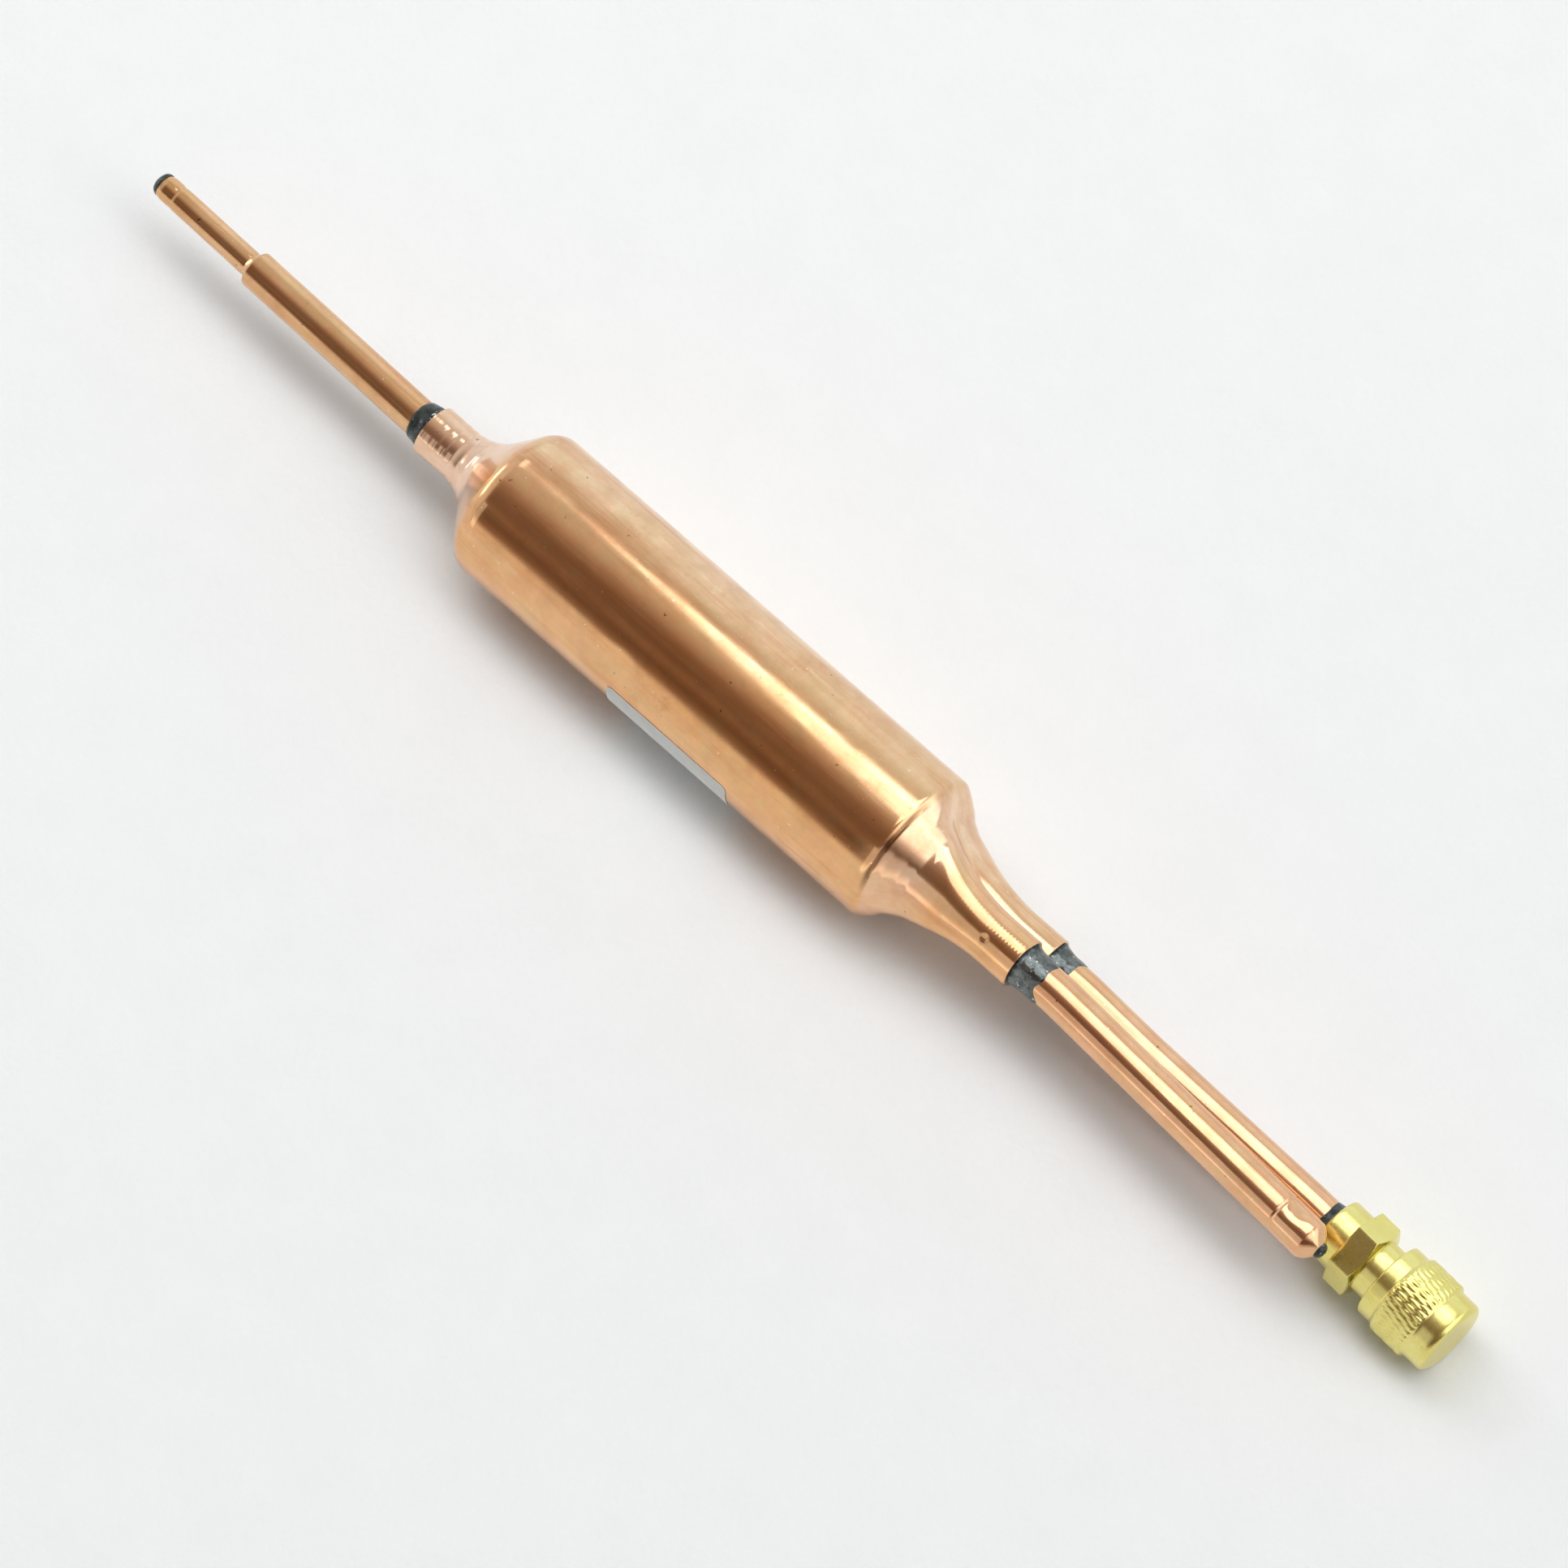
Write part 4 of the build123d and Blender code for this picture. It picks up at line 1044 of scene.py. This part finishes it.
# Inside pieces that keep their CAD mesh.
KEPT = {
    "cap_gasket": rubber, "core_plug": brass_core, "core_barrel": brass_core, "core_seal": ptfe,
    "core_pin": brass_core, "core_cup": brass_core, "core_washer": rubber, "inlet_screen": steel,
    "inlet_mesh": cloth, "outlet_screen": steel, "outlet_mesh": cloth, "outlet_pad": felt,
    "desiccant_bed": bead_bed,
}
for node_name, material in KEPT.items():
    node_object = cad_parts[node_name]
    if node_object.material_slots:
        for material_slot in node_object.material_slots:
            material_slot.material = material
    else:
        node_object.data.materials.append(material)


def build_spring():
    """A copy of the valve core's spring as it stands; the real one shortens towards the barrel's floor as the
    pin goes in.
    """
    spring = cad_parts["core_spring"]
    mesh = spring.data.copy()
    mesh.materials.clear()
    wire = new_object("valve_spring", mesh)
    wire.matrix_world = spring.matrix_world.copy()
    return wire


def shorten(wire):
    """Gives the spring its own copy of its mesh, and takes nothing off it for the pin's travel."""
    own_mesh(wire)


spring = build_spring()
dress(spring, steel, "core_spring")
shorten(spring)


# ---- Camera: azimuth, elevation and distance solved from the photograph's outline ----
AZIMUTH, ELEVATION, DISTANCE = deg(44.16), deg(65.0), 1300.0
SHIFT_RIGHT, SHIFT_UP = 11.217, -16.587
SENSOR, PIXELS_PER_MM, PHOTO_PIXELS = 36.0, 8.38, 1932
sin_a, cos_a, sin_e, cos_e = sin(AZIMUTH), cos(AZIMUTH), sin(ELEVATION), cos(ELEVATION)
right = np.array([cos_a, sin_a, 0.0])
up = np.array([-sin_a * sin_e, cos_a * sin_e, cos_e])
back = np.array([sin_a * cos_e, -cos_a * cos_e, sin_e])
place = (SHIFT_RIGHT * right + SHIFT_UP * up + DISTANCE * back) * MM
camera_data = bpy.data.cameras.new("camera")
camera_data.sensor_width = SENSOR
camera_data.lens = SENSOR * PIXELS_PER_MM * DISTANCE / PHOTO_PIXELS
camera_data.clip_start = 0.01
camera = new_object("camera", camera_data)
camera.matrix_world = posed(right, up, back, place)
bpy.context.scene.camera = camera


# ---- Floor, world and lamps ----
FLOOR_SIZE = 3.0
FLOOR_GLOW, FLOOR_PAINTED_FALLOFF = 0.025, 0.03
LAMP_COLOUR = (0.92, 1.0, 1.10)

# Angle from overhead towards +Y in degrees, and the studio's colour there: over the drum, and past the valve.
WORLD_MIDDLE = [
    (-180, 0.667, 0.660, 0.654), (-150, 0.626, 0.616, 0.595), (-118, 0.848, 0.814, 0.762),
    (-80, 0.848, 0.814, 0.773), (-72, 0.273, 0.182, 0.131), (-60, 0.157, 0.101, 0.071),
    (-47, 0.253, 0.171, 0.125), (-36, 0.192, 0.130, 0.095), (-22, 0.253, 0.176, 0.137),
    (-10, 0.404, 0.308, 0.262), (0, 0.545, 0.462, 0.405), (10, 0.626, 0.572, 0.512),
    (40, 0.667, 0.616, 0.559), (52, 0.808, 0.814, 0.809), (66, 0.959, 1.034, 1.095),
    (130, 0.959, 1.023, 1.083), (180, 0.667, 0.660, 0.654),
]
WORLD_VALVE_END = [
    (-180, 0.707, 0.726, 0.738), (-110, 0.828, 0.814, 0.785), (-82, 0.707, 0.638, 0.571),
    (-66, 0.141, 0.094, 0.069), (-38, 0.162, 0.110, 0.083), (-22, 0.626, 0.550, 0.524),
    (-6, 1.768, 1.870, 1.975), (62, 1.717, 1.826, 1.928), (76, 0.858, 0.880, 0.892),
    (95, 0.788, 0.770, 0.738), (180, 0.707, 0.726, 0.738),
]
WORLD_OUTLET_END = (0.80, 0.80, 0.80)
# The light on matt surfaces: a broad soft source almost overhead, as the photograph's soft shadow shows.
WORLD_LIGHT = [
    (angle, *[level * 0.955] * 3) for angle, level in
    ((-180, 0.16), (-24, 0.16), (-14, 0.50), (-6, 1.45), (3, 3.2), (9, 4.1), (16, 3.2), (24, 1.5), (34, 0.70),
     (46, 0.24), (180, 0.20))
]


def build_floor():
    """A matt vinyl sheet under the drum. A faint glow lifts it, and the glow's rise towards the far +Y side
    is painted light from the lamps' side.
    """
    mesh = bpy.data.meshes.new("floor")
    z = -DRUM_R * MM
    corners = [(x * FLOOR_SIZE, y * FLOOR_SIZE, z) for x, y in ((-1, -1), (1, -1), (1, 1), (-1, 1))]
    mesh.from_pydata(corners, [], [(0, 1, 2, 3)])
    floor = new_object("floor", mesh)
    n = Nodes("floor_vinyl", Roughness=0.85, Specular_IOR_Level=0.1)
    weave = n.noise(1100, 2, 0.5, stretch=(1, 0.55, 1))
    soft = n.noise(120, 3, 0.5)
    n.set("Base Color", n.over((0.835, 0.84, 0.84), (0.85, 0.855, 0.855), soft, 0.3, 0.7))
    n.set("Normal", n.bump(weave, 0.45, 0.0003))
    # Painted light: the glow rises towards the far +Y side, where the lamps stand.
    across = n.node("ShaderNodeVectorMath", {0: n.place, 1: (-0.697, 0.717, 0.0)}, operation="DOT_PRODUCT")
    lit = n.fac(across.outputs["Value"], -0.14, 0.14, FLOOR_GLOW - FLOOR_PAINTED_FALLOFF, FLOOR_GLOW + FLOOR_PAINTED_FALLOFF)
    # Only rays that look see the glow, so it lights nothing.
    ray = n.node("ShaderNodeLightPath").outputs
    seen = n.math("MAXIMUM", ray["Is Camera Ray"], ray["Is Glossy Ray"])
    seen = n.math("MAXIMUM", seen, ray["Is Transmission Ray"])
    glow = n.node("ShaderNodeEmission", {"Color": (1, 1, 1, 1), "Strength": n.math("MULTIPLY", seen, lit)})
    both = n.node("ShaderNodeAddShader", {0: n.shader.outputs[0], 1: glow.outputs[0]})
    n.tree.links.new(both.outputs[0], n.tree.nodes["Material Output"].inputs["Surface"])
    mesh.materials.append(n.material)


def build_world():
    """The surroundings, which differ by kind of ray.

    Glossy rays meet a pale studio with a dark, warm patch overhead on the -Y side, diffuse rays meet the
    soft source of WORLD_LIGHT, and the camera sees an even pale grey.
    """
    world = bpy.data.worlds.new("studio")
    bpy.context.scene.world = world
    world.use_nodes = True
    tree = world.node_tree
    tree.nodes.clear()

    def node(kind, links=None, **settings):
        return add_node(tree, kind, links, **settings)

    def span(value, low, high):
        return node("ShaderNodeMapRange", {"Value": value, "From Min": low, "From Max": high}).outputs[0]

    def ramp(value, stops):
        made = node("ShaderNodeValToRGB", {"Fac": value})
        elements = made.color_ramp.elements
        while len(elements) < len(stops):
            elements.new(0.5)
        for element, (angle, *colour) in zip(elements, stops):
            element.position = (angle + 180) / 360
            element.color = (*colour, 1)
        return made.outputs["Color"]

    def blend(share, a, b):
        return node("ShaderNodeMix", {0: share, 6: a, 7: b}, data_type="RGBA").outputs[2]

    def background(colour):
        return node("ShaderNodeBackground", {"Color": colour, "Strength": 1.0}).outputs[0]

    way = node("ShaderNodeTexCoord").outputs["Generated"]
    x, y, z = node("ShaderNodeSeparateXYZ", {0: way}).outputs
    around = span(node("ShaderNodeMath", {0: y, 1: z}, operation="ARCTAN2").outputs[0], -pi, pi)
    studio = blend(span(x, 0.30, 0.58), ramp(around, WORLD_MIDDLE), ramp(around, WORLD_VALVE_END))
    studio = blend(span(x, -0.52, -0.78), studio, (*WORLD_OUTLET_END, 1))
    ray = node("ShaderNodeLightPath").outputs
    glossy, matt = background(studio), background(ramp(around, WORLD_LIGHT))
    seen = background((0.9, 0.905, 0.905, 1))
    both = node("ShaderNodeMixShader", {0: ray["Is Diffuse Ray"], 1: glossy, 2: matt}).outputs[0]
    which = node("ShaderNodeMixShader", {0: ray["Is Camera Ray"], 1: both, 2: seen}).outputs[0]
    node("ShaderNodeOutputWorld", {"Surface": which})


def build_lamp(name, place, aim, along, length, width, watts):
    """A soft rectangle of light that faces `aim`, its length along `along`. Only reflections show it."""
    data = bpy.data.lights.new(name, "AREA")
    data.shape = "RECTANGLE"
    data.size = length
    data.size_y = width
    data.energy = watts
    data.color = LAMP_COLOUR
    lamp = new_object(name, data)
    z = (Vector(place) - Vector(aim)).normalized()
    x = (Vector(along) - z * z.dot(Vector(along))).normalized()
    lamp.matrix_world = posed(x, z.cross(x), z, place)
    lamp.visible_diffuse = False
    lamp.visible_camera = False


build_floor()
build_world()
# Name, place, aim, direction of the length, length and width in metres, watts.
LAMPS = [
    ("strip", (0.72, 0.727, 1.312), (0.72, 0, 0), (1, 0, 0), 2.4, 0.17, 1.3),
    ("window", (0.045, 0.1055, 0.2808), (0.045, 0, 0), (0.53, -0.794, 0.298), 0.242, 0.25, 0.30),
    ("low_window", (-0.53, -0.02, 0.085), (-0.04, -0.02, 0.01), (0, 1, 0), 0.27, 0.10, 0.20),
    ("tube_card", (0.083, -0.053, 0.028), (0.083, 0, 0), (1, 0, 0), 0.112, 0.040, 0.0080),
    ("neck_card", (-0.0695, -0.053, 0.028), (-0.0695, 0, 0), (1, 0, 0), 0.016, 0.040, 0.0009),
    ("neck_light", (-0.082, 0.045, 0.084), (-0.052, 0, 0), (1, 0, 0), 0.016, 0.022, 0.0012),
]
for lamp_row in LAMPS:
    build_lamp(*lamp_row)
bpy.context.scene.view_settings.view_transform = "Standard"
